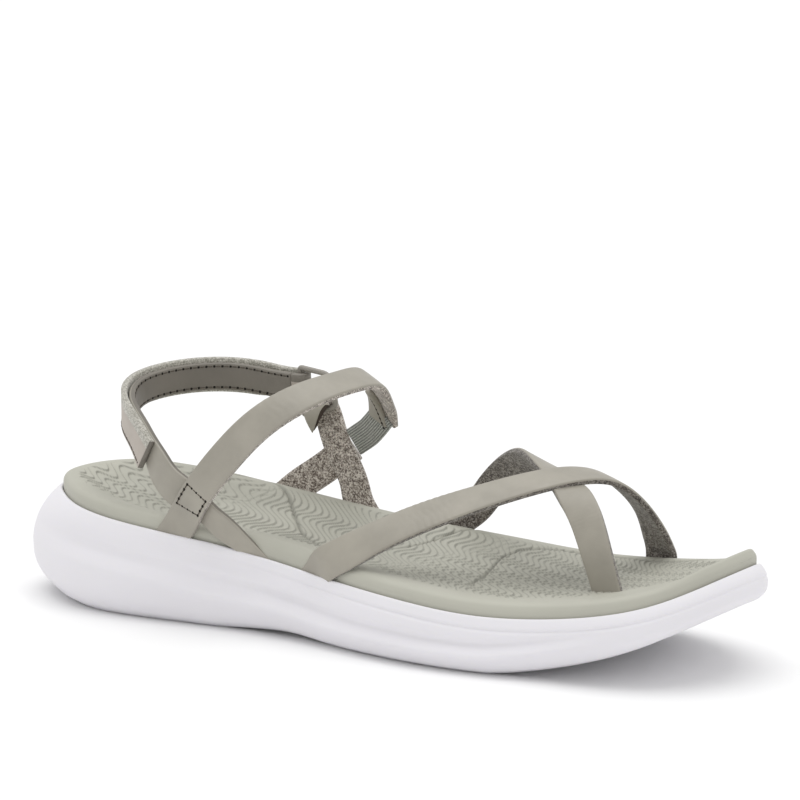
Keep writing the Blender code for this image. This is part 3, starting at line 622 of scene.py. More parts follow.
def ramp(add, links, value, stops):
    """Colour ramp of (place, colour) stops over a value."""
    node = add("ShaderNodeValToRGB")
    elements = node.color_ramp.elements
    while len(elements) < len(stops):
        elements.new(0.5)
    for element, (place, colour) in zip(elements, stops):
        element.position = place
        element.color = (*colour, 1.0)
    links.new(value, node.inputs["Fac"])
    return node.outputs["Color"]


def bump(add, links, heights, shader):
    """Bump chain of (height, distance in millimetres, strength) steps into a shader."""
    last = None
    for height, distance, strength in heights:
        node = add("ShaderNodeBump")
        node.inputs["Distance"].default_value = distance * MM
        node.inputs["Strength"].default_value = strength
        links.new(height, node.inputs["Height"])
        if last is not None:
            links.new(last, node.inputs["Normal"])
        last = node.outputs["Normal"]
    links.new(last, shader.inputs["Normal"])


def tint(colour, factor):
    """A colour made lighter or darker by a factor."""
    return tuple(min(1.0, c * factor) for c in colour)


def leather(name, colour, rough=0.44, grain=0.5):
    """Smooth leather: fine pebble, soft creases, slight change of shade, polish that varies."""
    material, links, shader, add = make_material(name)
    place = add("ShaderNodeTexCoord").outputs["Object"]
    shade = noise(add, links, place, 45.0, 4.0, 0.6)
    fine = noise(add, links, place, 1900.0, 2.0, 0.5)
    crease = noise(add, links, place, 260.0, 4.0, 0.62)
    colours = ramp(add, links, shade, ((0.32, tint(colour, 0.88)), (0.68, tint(colour, 1.10))))
    links.new(colours, shader.inputs["Base Color"])
    polish = ramp(add, links, crease, ((0.3, (rough - 0.07,) * 3), (0.7, (rough + 0.09,) * 3)))
    links.new(polish, shader.inputs["Roughness"])
    shader.inputs["Specular IOR Level"].default_value = 0.42
    shader.inputs["Sheen Weight"].default_value = 0.06
    shader.inputs["Sheen Roughness"].default_value = 0.4
    bump(add, links, ((fine, 0.05, grain), (crease, 0.16, 0.55 * grain), (shade, 0.5, 0.3 * grain)), shader)
    return material


def heathered(name, dark, middle, pale, size=1850.0):
    """Felted lining of mixed fibres: specks of dark, middle and pale, with a rough nap."""
    material, links, shader, add = make_material(name)
    place = add("ShaderNodeTexCoord").outputs["Object"]
    speck = noise(add, links, place, size, 2.5, 0.62)
    broad = noise(add, links, place, size * 0.33, 2.0, 0.5)
    blend = add("ShaderNodeMath", operation="MULTIPLY_ADD")
    links.new(broad, blend.inputs[0])
    blend.inputs[1].default_value = 0.35
    links.new(speck, blend.inputs[2])
    stops = ((0.53, dark), (0.67, middle), (0.782, pale), (0.908, tint(pale, 1.12)))
    links.new(ramp(add, links, blend.outputs[0], stops), shader.inputs["Base Color"])
    shader.inputs["Roughness"].default_value = 0.95
    shader.inputs["Sheen Weight"].default_value = 0.35
    shader.inputs["Sheen Roughness"].default_value = 0.6
    shader.inputs["Specular IOR Level"].default_value = 0.15
    bump(add, links, ((speck, 0.35, 0.9), (broad, 0.4, 0.5)), shader)
    return material


def moulded(name, colour, rough, pore, change, subsurface=0.0, dark_line=0.0):
    """Moulded foam: pores too fine to see one by one, a slow change of tone, and painted shade where the line
    attribute marks it.
    """
    material, links, shader, add = make_material(name)
    place = add("ShaderNodeTexCoord").outputs["Object"]
    shade = noise(add, links, place, 22.0, 3.0, 0.5)
    pores = noise(add, links, place, 1500.0, 2.0, 0.6)
    wave = noise(add, links, place, 120.0, 2.0, 0.5)
    colours = ramp(add, links, shade, ((0.3, tint(colour, 1 - change)), (0.7, tint(colour, 1 + change))))
    # Painted shade: the line attribute mixes the colour towards a darker tint at the foot of each terrace
    # step and in the grooves
    if dark_line > 0:
        line = add("ShaderNodeAttribute", attribute_name="line")
        mix = add("ShaderNodeMix", data_type="RGBA", blend_type="MIX")
        links.new(line.outputs["Fac"], mix.inputs[0])
        links.new(colours, mix.inputs[6])
        mix.inputs[7].default_value = (*tint(colour, 1 - dark_line), 1.0)
        colours = mix.outputs[2]
    links.new(colours, shader.inputs["Base Color"])
    shader.inputs["Roughness"].default_value = rough
    shader.inputs["Specular IOR Level"].default_value = 0.38
    if subsurface > 0:
        shader.inputs["Subsurface Weight"].default_value = subsurface
        shader.inputs["Subsurface Radius"].default_value = (0.004, 0.004, 0.005)
        shader.inputs["Subsurface Scale"].default_value = 0.5
    bump(add, links, ((pores, 0.04, pore), (wave, 0.12, 0.25 * pore)), shader)
    return material


def ribbed_elastic(name, colour, pale):
    """Elastic band: ribs along it and fine cross weave, read from its own UV map."""
    material, links, shader, add = make_material(name)
    sheet = add("ShaderNodeTexCoord").outputs["UV"]
    parts = add("ShaderNodeSeparateXYZ")
    links.new(sheet, parts.inputs[0])
    weave = add("ShaderNodeMath", operation="SINE")
    scaled = add("ShaderNodeMath", operation="MULTIPLY")
    links.new(parts.outputs["X"], scaled.inputs[0])
    scaled.inputs[1].default_value = 2 * math.pi * 1.5
    links.new(scaled.outputs[0], weave.inputs[0])
    ribs = add("ShaderNodeMath", operation="COSINE")
    across = add("ShaderNodeMath", operation="MULTIPLY")
    links.new(parts.outputs["Y"], across.inputs[0])
    across.inputs[1].default_value = 2 * math.pi * 12.0 / ELASTIC_WIDTH
    links.new(across.outputs[0], ribs.inputs[0])
    place = add("ShaderNodeTexCoord").outputs["Object"]
    fibre = noise(add, links, place, 2200.0, 2.0, 0.6)
    mixed = add("ShaderNodeMath", operation="MULTIPLY_ADD")
    links.new(ribs.outputs[0], mixed.inputs[0])
    mixed.inputs[1].default_value = 0.28
    links.new(fibre, mixed.inputs[2])
    colours = ramp(add, links, mixed.outputs[0], ((0.22, tint(colour, 0.55)), (0.5, colour), (0.85, pale)))
    links.new(colours, shader.inputs["Base Color"])
    shader.inputs["Roughness"].default_value = 0.85
    shader.inputs["Sheen Weight"].default_value = 0.2
    heights = ((ribs.outputs[0], 0.12, 0.6), (weave.outputs[0], 0.08, 0.6), (fibre, 0.08, 0.5))
    bump(add, links, heights, shader)
    return material


def plain(name, colour, rough, specular=0.4):
    """Even finish with a faint grain, for small trim."""
    material, links, shader, add = make_material(name)
    place = add("ShaderNodeTexCoord").outputs["Object"]
    fine = noise(add, links, place, 1800.0, 2.0, 0.5)
    colours = ramp(add, links, fine, ((0.3, tint(colour, 0.9)), (0.7, tint(colour, 1.08))))
    links.new(colours, shader.inputs["Base Color"])
    shader.inputs["Roughness"].default_value = rough
    shader.inputs["Specular IOR Level"].default_value = specular
    bump(add, links, ((fine, 0.03, 0.3),), shader)
    return material


def fetch(maker, name, *values, **options):
    """The material of a finish, made the first time that a piece asks for it."""
    return bpy.data.materials.get(name) or maker(name, *values, **options)


def strap_leather():
    """Leather of the outside of the straps."""
    return fetch(leather, "strap_leather", bpy.context.scene.sandal_colours.strap)


def inner_leather():
    """Dark smooth leather inside the heel strap."""
    return fetch(leather, "inner_leather", bpy.context.scene.sandal_colours.inner, rough=0.5, grain=0.35)


def pad_leather():
    """Smooth outer face of the closure."""
    return fetch(leather, "pad_leather", bpy.context.scene.sandal_colours.pad, rough=0.5, grain=0.3)


def lining():
    """Heathered lining of the rear straps and the arms."""
    tones = bpy.context.scene.sandal_colours
    return fetch(heathered, "strap_lining", tones.lining_dark, tones.lining_mid, tones.lining_pale)


def forefoot_lining():
    """Darker lining of the forefoot straps."""
    tones = bpy.context.scene.sandal_colours
    return fetch(heathered, "forefoot_lining", tint(tones.lining_dark, 0.5), tint(tones.lining_mid, 0.45),
                 tint(tones.lining_pale, 0.5))


def nap():
    """Pale napped face of the closure."""
    tones = bpy.context.scene.sandal_colours
    return fetch(heathered, "closure_nap", tones.nap_dark, tones.nap_mid, tones.nap_pale, size=2000.0)


def cut_edge():
    """Cut end of a strap, painted dark brown as the shadow in the slit under the folded flap."""
    tones = bpy.context.scene.sandal_colours
    return fetch(plain, "cut_edge", tint(tones.lining_dark, 0.9), 0.8, specular=0.2)


def thread():
    """Sewing thread."""
    return fetch(plain, "sewing_thread", bpy.context.scene.sandal_colours.thread, 0.7, specular=0.2)


def needle_hole():
    """Needle hole: a flat disc painted near black as the shade inside the hole."""
    return fetch(plain, "needle_hole", (0.02, 0.018, 0.015), 0.9, specular=0.1)


# Straps

def strap_profile(thickness, crown):
    """Section of a lined strap: a crowned outer face with rounded corners, raw edges and a flat lining.

    Gives, for each point round the section, the place across as a share of each side, the inset from the
    edge, the height, and the finish of the face that follows it: 0 outside, 1 for the raw edge and lining.
    """
    half = thickness / 2
    radius = min(0.62 * half, 0.7)
    turn = np.radians(np.linspace(0, 90, 4))
    rounded = np.array([-1 + 0 * turn, radius * (1 - np.cos(turn)), half - radius + radius * np.sin(turn)])
    across = np.linspace(-1, 1, 9)[1:-1]
    level = 0 * across
    face = np.array([across, level, half + crown * (1 - across ** 2)])
    raw = np.array([(1, 0.0, -0.05), (1, -0.06, -0.09), (1, -0.08, 0.22 - half), (1, -0.25, -half)]).T
    inside = np.array([-across, level, level - half])
    other_side = np.array([[-1], [-1], [1]])
    outer = np.concatenate([rounded, face, other_side * rounded[:, ::-1]], 1)
    u, inset, v = np.concatenate([outer, raw, inside, other_side * raw[:, ::-1]], 1)
    kind = np.ones(len(u), int)
    kind[:outer.shape[1] - 1] = 0
    return u, inset, v, kind


def slant_end(points, u, length, start, inner, outer):
    """Cut the end of a strap on a slant.

    Past the start, each column runs on by its own share of the length, from the inner share at one edge
    to the outer share at the other.
    """
    first = int(np.searchsorted(length, start))
    share = inner + (outer - inner) * (1 - u) / 2
    place = np.arange(len(points), dtype=float)[:, None]
    place = np.where(place > first, first + (place - first) * share[None, :], place)
    low = np.minimum(place.astype(int), len(points) - 2)
    part = (place - low)[..., None]
    columns = np.arange(points.shape[1])[None, :]
    return points[low, columns] * (1 - part) + points[low + 1, columns] * part


def make_strap(name, rows, width, node, materials, crown=0.12, thickness=STRAP_THICKNESS, steps=14,
               creases=(), band=-2.0, lead=0.0, slant=None):
    """A strap: the lined section carried along its line, closed at both ends.

    Each point is the line plus the width direction times the place across plus the normal times height.
    A crease is a bell along the strap times a sine of its own pitch, that leans across the strap. The
    lining takes the outer finish where the place across is below the band. The outer face takes the last
    finish on the length of the lead. A slant gives where the far end's cut starts and its two shares.
    """
    line, wide, up, length = strap_sections(rows, steps)
    widths = np.broadcast_to(width(length) if callable(width) else width, len(line))[:, None] / 2
    u, inset, v, kind = strap_profile(thickness, crown)
    across = u * np.where(np.abs(u) < 1, widths - EDGE_STRIP, widths) + inset
    height = v + np.zeros_like(across)
    for where, spread, depth, pitch in creases:
        ripple = np.sin(2 * math.pi * (length[:, None] + 0.25 * across + 0.5 * np.sin(across)) / pitch)
        height += depth * bell(length - where, spread)[:, None] * ripple * (0.6 + 0.4 * np.cos(across))
    points = line[:, None] + wide[:, None] * across[..., None] + up[:, None] * height[..., None]
    if slant:
        points = slant_end(points, u, length, *slant)
    count, columns = points.shape[:2]
    end = np.arange(columns)[None, :]
    faces = [grid_faces(count, columns, closed=True)[:, ::-1], end, end[:, ::-1] + (count - 1) * columns]
    kind = np.where(u < band, 0, kind)[None, :]
    last = len(materials) - 1
    picks = [np.where((length[:-1, None] < lead) & (kind == 0), last, kind), [1], [last]]
    sheet = np.stack([np.repeat(length, columns), across.ravel()], 1)
    return new_piece(name, points.reshape(-1, 3), faces, materials, node, picks, sheet)


def make_tab(start, end, edge):
    """Leather tab sewn inside the end of the instep strap, between two lengths along the strap.

    A thin rounded slab: one of its edges follows the strap's, and the other slants across the strap from
    the first place of the edge to the second.
    """
    rows, columns = 30, 24
    places = np.linspace(start, end, rows)
    line, wide, up = sections_at(places, strap_sections(all_rows()["instep"], 14))
    angle = np.linspace(0, 2 * math.pi, columns, endpoint=False)
    share = 0.5 + 0.5 * np.sign(np.cos(angle)) * np.abs(np.cos(angle)) ** 0.35
    height = -STRAP_THICKNESS / 2 - 1.0 + 1.05 * np.sign(np.sin(angle)) * np.abs(np.sin(angle)) ** 0.7
    low = (edge[0] + (edge[1] - edge[0]) * (places - start) / (end - start))[:, None]
    across = low + (STRAP_WIDTH / 2 - FIT_GAP - low) * share[None, :]
    points = line[:, None] + wide[:, None] * across[..., None] + up[:, None] * height[None, :, None]
    rim = np.arange(columns)[None, :]
    faces = [grid_faces(rows, columns, closed=True), rim[:, ::-1], rim + (rows - 1) * columns]
    return new_piece("instep_tab", points.reshape(-1, 3), faces, [strap_leather()], "rear_straps")


def stitch_row(sections, start, stop, spacing, side, height=STRAP_THICKNESS / 2):
    """Places and directions of the stitches of a straight row, given as (length, across) at both ends."""
    count = max(1, round(math.dist(start, stop) / spacing))
    share = (np.arange(count) + 0.5) / count
    across = (start[1] + (stop[1] - start[1]) * share)[:, None]
    point, wide, up = sections_at(start[0] + (stop[0] - start[0]) * share, sections)
    ahead = np.cross(wide, up) * (stop[0] - start[0]) + wide * (stop[1] - start[1])
    ahead /= np.linalg.norm(ahead, axis=1)[:, None]
    up /= np.linalg.norm(up, axis=1)[:, None]
    return point + wide * across + up * side * height, ahead, up * side


def capsule():
    """Unit capsule along X as points, quads and end caps: rings whose radius is the root of a sine."""
    around, rings = 6, 4
    t = np.linspace(0.0, math.pi, rings + 2)[1:-1]
    a = np.linspace(0, 2 * math.pi, around, endpoint=False)
    x = -np.cos(t)[:, None] + 0 * a[None, :]
    r = np.sin(t)[:, None] ** 0.5
    points = np.stack([x, r * np.cos(a)[None, :], r * np.sin(a)[None, :]], -1).reshape(-1, 3)
    faces = grid_faces(rings, around, closed=True)
    caps = np.stack([np.arange(around)[::-1], np.arange(around) + (rings - 1) * around])
    return points, faces, caps


def scatter(centres, ahead, normals, size):
    """Copies of the capsule: its three sizes along, across and through each place's own directions."""
    points, *shapes = capsule()
    side = np.cross(normals, ahead)
    axes = np.stack([ahead * size[0], side * size[1], normals * size[2]], 1)
    places = centres[:, None] + np.einsum("pk,nkj->npj", points, axes)
    steps = np.arange(len(centres))[:, None, None] * len(points)
    quads, caps = [(shape[None] + steps).reshape(-1, shape.shape[1]) for shape in shapes]
    return places.reshape(-1, 3), quads, caps


def make_stitches(name, rows, node, spacing, radius=0.26):
    """Stitches of a piece: a sunk thread between each two needle holes."""
    centres, ahead, normals = [np.concatenate(part) for part in zip(*rows)]
    threads, quads, caps = scatter(centres, ahead, normals, (0.32 * spacing, radius, radius * 0.8))
    spots = centres + ahead * spacing / 2
    # Needle holes are flat discs painted near black for the shade inside them
    holes, hole_quads, hole_caps = scatter(spots, ahead, normals, (0.46, 0.46, 0.17))
    faces = [quads, caps, hole_quads + len(threads), hole_caps + len(threads)]
    picks = [np.full(len(part), index) for part, index in zip(faces, (0, 0, 1, 1))]
    vertices = np.concatenate([threads, holes])
    return new_piece(name, vertices, faces, [thread(), needle_hole()], node, picks)


def all_rows():
    """Rows of every strap, by name, and the place and normal of the ring."""
    tables = {
        "instep": INSTEP_STRAP,
        "heel": HEEL_STRAP,
        "rear_arm": REAR_ARM,
        "front_arm": FRONT_ARM,
        "long": LONG_FOREFOOT_STRAP,
        "toe_post": TOE_POST_STRAP,
    }
    rows = {name: anchor_rows(name) + table_rows(table) for name, table in tables.items()}
    rows["elastic"] = table_rows(ELASTIC)
    rows["long"] += anchor_rows("long_end")[::-1]
    last, normal = rows["front_arm"][-1]
    rows["ring"] = (last - normal * LOOP_RADIUS, normal)
    rows["front_arm"] += flap_rows(rows["front_arm"])
    rows["toe_post"] += post_rows(rows["toe_post"])
    rows["closure"] = closure_rows(rows["heel"])
    return rows


# Footbed and sole

def groove_at(groove, y):
    """Place along the foot at which a groove crosses each place across it."""
    points = sorted(groove, key=lambda point: point[1])
    return np.interp(y, column(points, 1), column(points, 0))


def wavy(x, y):
    """Terraced relief of the footbed: a ramp that drops at the end of each step, along wavy lines, and
    painted shade at the foot of each drop.

    The phase is the distance along the foot plus a drift and a wave across it, over the spacing. Heel,
    instep and ball have their own spacing, drift and wave, and the steps shift at the grooves.
    """
    past_arch = smoothstep(x - groove_at(ARCH_GROOVE, y) + 0.5)
    past_toes = smoothstep(x - groove_at(TOE_GROOVE_ACROSS, y) + 0.5)
    is_heel = smoothstep((62.0 - x + 0.25 * y) / 16.0)
    forward = smoothstep((x - 128.0 - 0.3 * y) / 20.0)
    warp = 2.2 * np.sin(x / 17.0 + y / 23.0) + 1.6 * np.sin(y / 9.0 - x / 31.0)
    heel = x + 3.4 * np.sin(2 * math.pi * (y + 0.35 * x + 0.5 * warp) / 12.5) + warp
    instep = x + 0.50 * y + 3.4 * np.sin(2 * math.pi * (y + 0.25 * x) / 23.0 + 0.12 * warp) + 0.4 * warp
    ball = x + 0.35 * y + 2.0 * np.sin(2 * math.pi * (y + 0.30 * x + warp) / 11.0) + warp
    zones = (
        # share, distance, spacing, shift in steps
        (is_heel, heel, 4.4, 0.0),
        ((1 - is_heel) * (1 - forward), instep, 2.75, 0.4 * past_arch),
        ((1 - is_heel) * forward, ball, 2.6, 0.45 * past_toes),
    )
    step = np.zeros_like(x)
    line = np.zeros_like(x)
    for share, distance, spacing, shift in zones:
        phase = distance / spacing + shift
        part = phase - np.floor(phase)
        step += share * (part - smoothstep((part - 0.86) / 0.14) * part)
        # Painted shade: a dark line at the foot of each step's drop, where the step casts its shade
        line += share * bell((part - 0.93) * spacing, 0.34)
    return step, line


def relief(x, y, inset):
    """Height that the moulded pattern adds to the footbed, and how much painted shade lies at the foot of its
    steps and in its grooves.

    The terraces lie inside the plain band and fade to dashes along the inner side, and each groove is a
    bell of the distance from its line.
    """
    sizes = bpy.context.scene.sandal_sizes
    past = y - np.interp(x, column(PATTERN_EDGE, 0), column(PATTERN_EDGE, 1))
    band = 4.5 + 4.0 * smoothstep((x - 225.0) / 15.0)
    fade = smoothstep((inset - band) / 1.5) * smoothstep(past / 2.5 + 0.5)
    dashes = smoothstep(np.sin(x * 2.1 + 1.7 * np.sin(y * 0.9)) + 0.3 + 2.2 * smoothstep(past / 9.0))
    step, line = wavy(x, y)
    height = sizes.terrace_step * (step - 0.45) * fade * dashes
    cut = np.zeros_like(x)
    for points in (ARCH_GROOVE, BALL_GROOVE, TOE_GROOVE_ACROSS + TOE_GROOVE_ALONG):
        path = np.array(points)
        reach = np.concatenate([[0], np.cumsum(np.linalg.norm(np.diff(path, axis=0), axis=1))])
        smooth = spline(np.linspace(0, reach[-1], 60), reach, path)
        cut = np.maximum(cut, bell(distance_to_line(x, y, smooth), 0.5))
    cut *= smoothstep(inset - 0.6)
    # The second value is painted shade, from 0 to 1: dark lines at the foot of the steps and in the grooves
    return height - sizes.groove_depth * cut, np.clip(0.85 * line * fade * dashes + 0.8 * cut, 0, 1)


def make_footbed():
    """Footbed: the dished top with its relief, a rounded rim and an underside closed straight across.

    The top's rows run across the foot and lie closer at heel and toe: half of their spread goes by the
    angle of the outline and half by the length. The place is the inner edge plus a share of the chord,
    with the shares closer at both edges, and the height is the dish plus the relief.
    """
    steps, chords = 800, 110
    t = np.linspace(0.0, math.pi, 4001)
    spread = 0.5 * (t / math.pi) + 0.5 * (1 - np.cos(t)) / 2
    t = np.interp(np.linspace(0, 1, steps + 1), spread, t)
    t[0], t[-1] = 0.004, math.pi - 0.004
    x = FOOTBED_LENGTH * (1 - np.cos(t)) / 2
    inner = -half_width(t, -1)
    outer = half_width(t, 1)
    outline = np.concatenate([np.stack([x, inner], 1), np.stack([x, outer], 1)[::-1]])
    share = np.linspace(0, 1, chords + 1)
    share = 0.5 * (1 - np.cos(math.pi * share)) * 0.35 + share * 0.65
    gx = np.repeat(x[:, None], chords + 1, 1)
    gy = inner[:, None] + (outer - inner)[:, None] * share[None, :]
    inset = distance_to_line(gx, gy, outline[::4], closed=True)
    inset[:, 0] = inset[:, -1] = 0
    inset[0] = inset[-1] = 0
    height, line = relief(gx, gy, inset)
    top = np.stack([gx, gy, footbed_top(gx, gy, inset) + height], -1)
    count = (steps + 1) * (chords + 1)
    vertices = [top.reshape(-1, 3)]
    faces = [grid_faces(steps + 1, chords + 1)[:, ::-1]]
    index = np.arange(count).reshape(steps + 1, chords + 1)
    loop = np.concatenate([index[:, 0], index[-1, 1:-1], index[::-1, -1], index[0, -2:0:-1]])
    edge = top.reshape(-1, 3)[loop]
    base = seam_height(np.clip(edge[:, 0] / FOOTBED_LENGTH, 0, 1)) - SEAT_DEPTH + FIT_GAP
    previous = loop
    for step, share_down in enumerate((0.33, 0.66, 1.0)):
        ring = edge.copy()
        ring[:, 2] = edge[:, 2] + (base - edge[:, 2]) * share_down
        vertices.append(ring)
        here = count + step * len(ring) + np.arange(len(ring))
        faces.append(np.stack([previous, np.roll(previous, -1), np.roll(here, -1), here], 1)[:, ::-1])
        previous = here
    left = previous[:steps + 1]
    toe = previous[steps + 1:steps + chords]
    right = previous[steps + chords:2 * steps + chords + 1][::-1]
    heel = previous[2 * steps + chords + 1:]
    faces.append(np.stack([left[1:-2], right[1:-2], right[2:-1], left[2:-1]], 1))
    faces.append(np.concatenate([[right[1], right[0]], heel, [left[0], left[1]]])[::-1][None, :])
    faces.append(np.concatenate([[left[-2], left[-1]], toe, [right[-1], right[-2]]])[::-1][None, :])
    colour = bpy.context.scene.sandal_colours.footbed
    # The footbed's colour is darkened by painted shade along its step lines and grooves
    material = fetch(moulded, "footbed_foam", colour, 0.62, pore=0.55, change=0.05, dark_line=0.45)
    vertices = np.concatenate(vertices)
    # Painted shade for the points of the top; the rim and the underside get none
    lines = np.zeros(len(vertices))
    lines[:count] = line.ravel()
    return new_piece("footbed_surface", vertices, faces, [material], "footbed", lines=lines)


def strap_grip(along, side):
    """How near each place on the side is to a strap that enters the foam, from 0 to 1."""
    near = np.zeros_like(along)
    for where, which, _ in ANCHORS.values():
        near = np.maximum(near, bell((along - where) * FOOTBED_LENGTH, 8.0) * (side * which > 0))
    return near


def side_texture(along, height):
    """Fine slanting ribs pressed in the side of the foam: a sine of the length, in two soft patches."""
    stripes = np.sin(2 * math.pi * (along * FOOTBED_LENGTH + 24.0 * height) / SIDE_RIB_PITCH)
    first = bell(along - 0.415, 0.085) * bell(height - 0.58, 0.10)
    second = bell(along - 0.580, 0.085) * bell(height - 0.32, 0.10)
    return SIDE_RIB * stripes * (first + second)


def flex_grooves(x, y):
    """How far the flex grooves rise into the tread: a soft step either side of each groove's middle."""
    cut = np.zeros_like(x)
    for i in range(FLEX_GROOVES):
        away = np.abs(x - FLEX_START * FOOTBED_LENGTH - i * FLEX_GROOVE_SPACING)
        cut = np.maximum(cut, smoothstep(2.2 - away / (0.35 * FLEX_GROOVE_WIDTH)))
    inside = smoothstep((BALL_WIDTH / 2 - FLEX_MARGIN - np.abs(y)) / 1.5 + 0.5)
    return FLEX_GROOVE_DEPTH * cut * inside


def make_foam_sole():
    """Foam sole: rings round the outline from the tread to the top edge, then the seat and the tread.

    Each ring is moved out by the wall's curve at its height. Where a strap enters, the foam swells under
    the edge and sinks below it, and a hollow and a slow wave lie above the ridge near the heel.
    """
    steps = 460
    points, normals, along = perimeter(steps)
    side = np.where(np.arange(len(points)) <= steps, -1.0, 1.0)
    seam = seam_height(along)
    tread = underside_height(along)
    tall = seam - tread

    def ring(offset, height):
        """The outline moved out by an offset at each point and set at a height."""
        place = points + normals * np.asarray(offset)[:, None]
        return np.column_stack([place, np.broadcast_to(height, len(place))])

    foot = wall_offset(0 * along, along)
    rings = [ring(foot - SOLE_EDGE_ROUND, tread)]
    for angle in (35, 65):
        a = math.radians(angle)
        offset = foot - SOLE_EDGE_ROUND * (1 - math.sin(a))
        rings.append(ring(offset, tread + 0.5 * SOLE_EDGE_ROUND * (1 - math.cos(a))))
    grip = strap_grip(along, side)
    for share in np.linspace(0.07, 1.0, 64)[:-1]:
        height = share + 0 * along
        drop = (1 - share) * tall
        dent = 0.8 * grip * (bell(drop, 2.0) - bell(drop - 6.0, 3.0))
        hollow = 0.5 * bell((height - 0.80) * tall, 2.4) * bell(along - 0.27, 0.16)
        wave = 0.35 * np.sin(along * 21.0 + height * 5.0)
        wave *= bell(along - 0.30, 0.16) * bell(height - 0.75, 0.2)
        offset = wall_offset(height, along) + side_texture(along, height) + dent - hollow + wave
        rings.append(ring(offset, tread + share * tall))
    rings.append(ring(LIP_OUT * 0.72 + 0.1 + 0.7 * grip, seam))
    rings.append(ring(FIT_GAP + 0 * along, seam - 0.25))
    rings.append(ring(FIT_GAP + 0 * along, seam - SEAT_DEPTH))
    rings = np.array(rings)
    count = rings.shape[1]
    vertices = [rings.reshape(-1, 3)]
    faces = [grid_faces(len(rings), count, closed=True)]

    def cap(base, inner, raised=None):
        """Faces that close a ring by chords across the foot, with their inner points raised."""
        near = np.arange(1, steps)
        far = count - near
        a = vertices[0][base + near]
        b = vertices[0][base + far]
        share = np.linspace(0, 1, inner + 2)[1:-1]
        chord = a[:, None] + (b - a)[:, None] * share[None, :, None]
        if raised:
            chord[..., 2] += raised(chord[..., 0], chord[..., 1])
        start = sum(len(v) for v in vertices)
        vertices.append(chord.reshape(-1, 3))
        body = np.arange(chord.shape[0] * inner).reshape(-1, inner) + start
        table = np.column_stack([base + near, body, base + far])
        quads = table.ravel()[grid_faces(*table.shape)]
        heel = np.stack([np.full(inner + 1, base), table[0, 1:], table[0, :-1]], 1)
        toe = np.stack([np.full(inner + 1, base + steps), table[-1, :-1], table[-1, 1:]], 1)
        return [quads, heel, toe]

    faces += [part[:, ::-1] for part in cap(0, 40, flex_grooves)]
    faces += cap((len(rings) - 1) * count, 3)
    colour = bpy.context.scene.sandal_colours.foam
    material = fetch(moulded, "white_foam", colour, 0.5, pore=0.35, change=0.012, subsurface=0.12)
    return new_piece("foam_sole", np.concatenate(vertices), faces, [material], "sole_unit")


def make_ring():
    """Ring of the closure: a round wire along corners that are rounded by parabolas."""
    centre, normal = all_rows()["ring"]
    along = np.array([1.0, 0.0, 0.0]) - normal * normal[0]
    along /= np.linalg.norm(along)
    up = np.cross(along, normal)
    corners = [centre + along * a + up * u for a, u, _ in RING_CORNERS]
    path = []
    for i, corner in enumerate(corners):
        ahead = corners[(i + 1) % len(corners)] - corner
        behind = corners[i - 1] - corner
        ahead /= np.linalg.norm(ahead)
        behind /= np.linalg.norm(behind)
        reach = RING_CORNERS[i][2] / math.tan(math.acos(ahead.dot(behind)) / 2)
        for share in np.linspace(0, 1, 9):
            path.append(corner + behind * reach * (1 - share) ** 2 + ahead * reach * share ** 2)
    path = np.array(path)
    run = np.roll(path, -1, 0) - np.roll(path, 1, 0)
    run /= np.linalg.norm(run, axis=1)[:, None]
    side = np.cross(normal, run)
    around = 16
    angle = np.linspace(0, 2 * math.pi, around, endpoint=False)
    points = (path[:, None] + WIRE_RADIUS * (side[:, None] * np.cos(angle)[None, :, None]
                                             + normal[None, None] * np.sin(angle)[None, :, None]))
    faces = grid_faces(len(path) + 1, around, closed=True)[:, ::-1] % (len(path) * around)
    material = fetch(plain, "ring_finish", bpy.context.scene.sandal_colours.ring, 0.35, specular=0.5)
    return new_piece("closure_ring_dressed", points.reshape(-1, 3), [faces], [material], "closure_ring")


# Add-on classes

def size_property(name, description, default, low, high):
    """A length field in millimetres with its default and range."""
    return FloatProperty(name=name, description=description, default=default, min=low, max=high)


class SandalSizes(bpy.types.PropertyGroup):
    """Sizes of the relief and the stitches."""

    terrace_step: size_property("Terrace step", "Height of a footbed terrace in millimetres", 0.6, 0.0, 2.0)
    groove_depth: size_property("Groove depth", "Depth of the footbed grooves in millimetres", 1.0, 0.0, 2.0)
    stitch_spacing: size_property("Stitch spacing", "Length of one stitch in millimetres", 2.75, 1.0, 6.0)


def colour_property(name, description, default):
    """A colour field with its default."""
    return FloatVectorProperty(name=name, description=description, default=default, subtype="COLOR",
                               size=3, min=0.0, max=1.0)


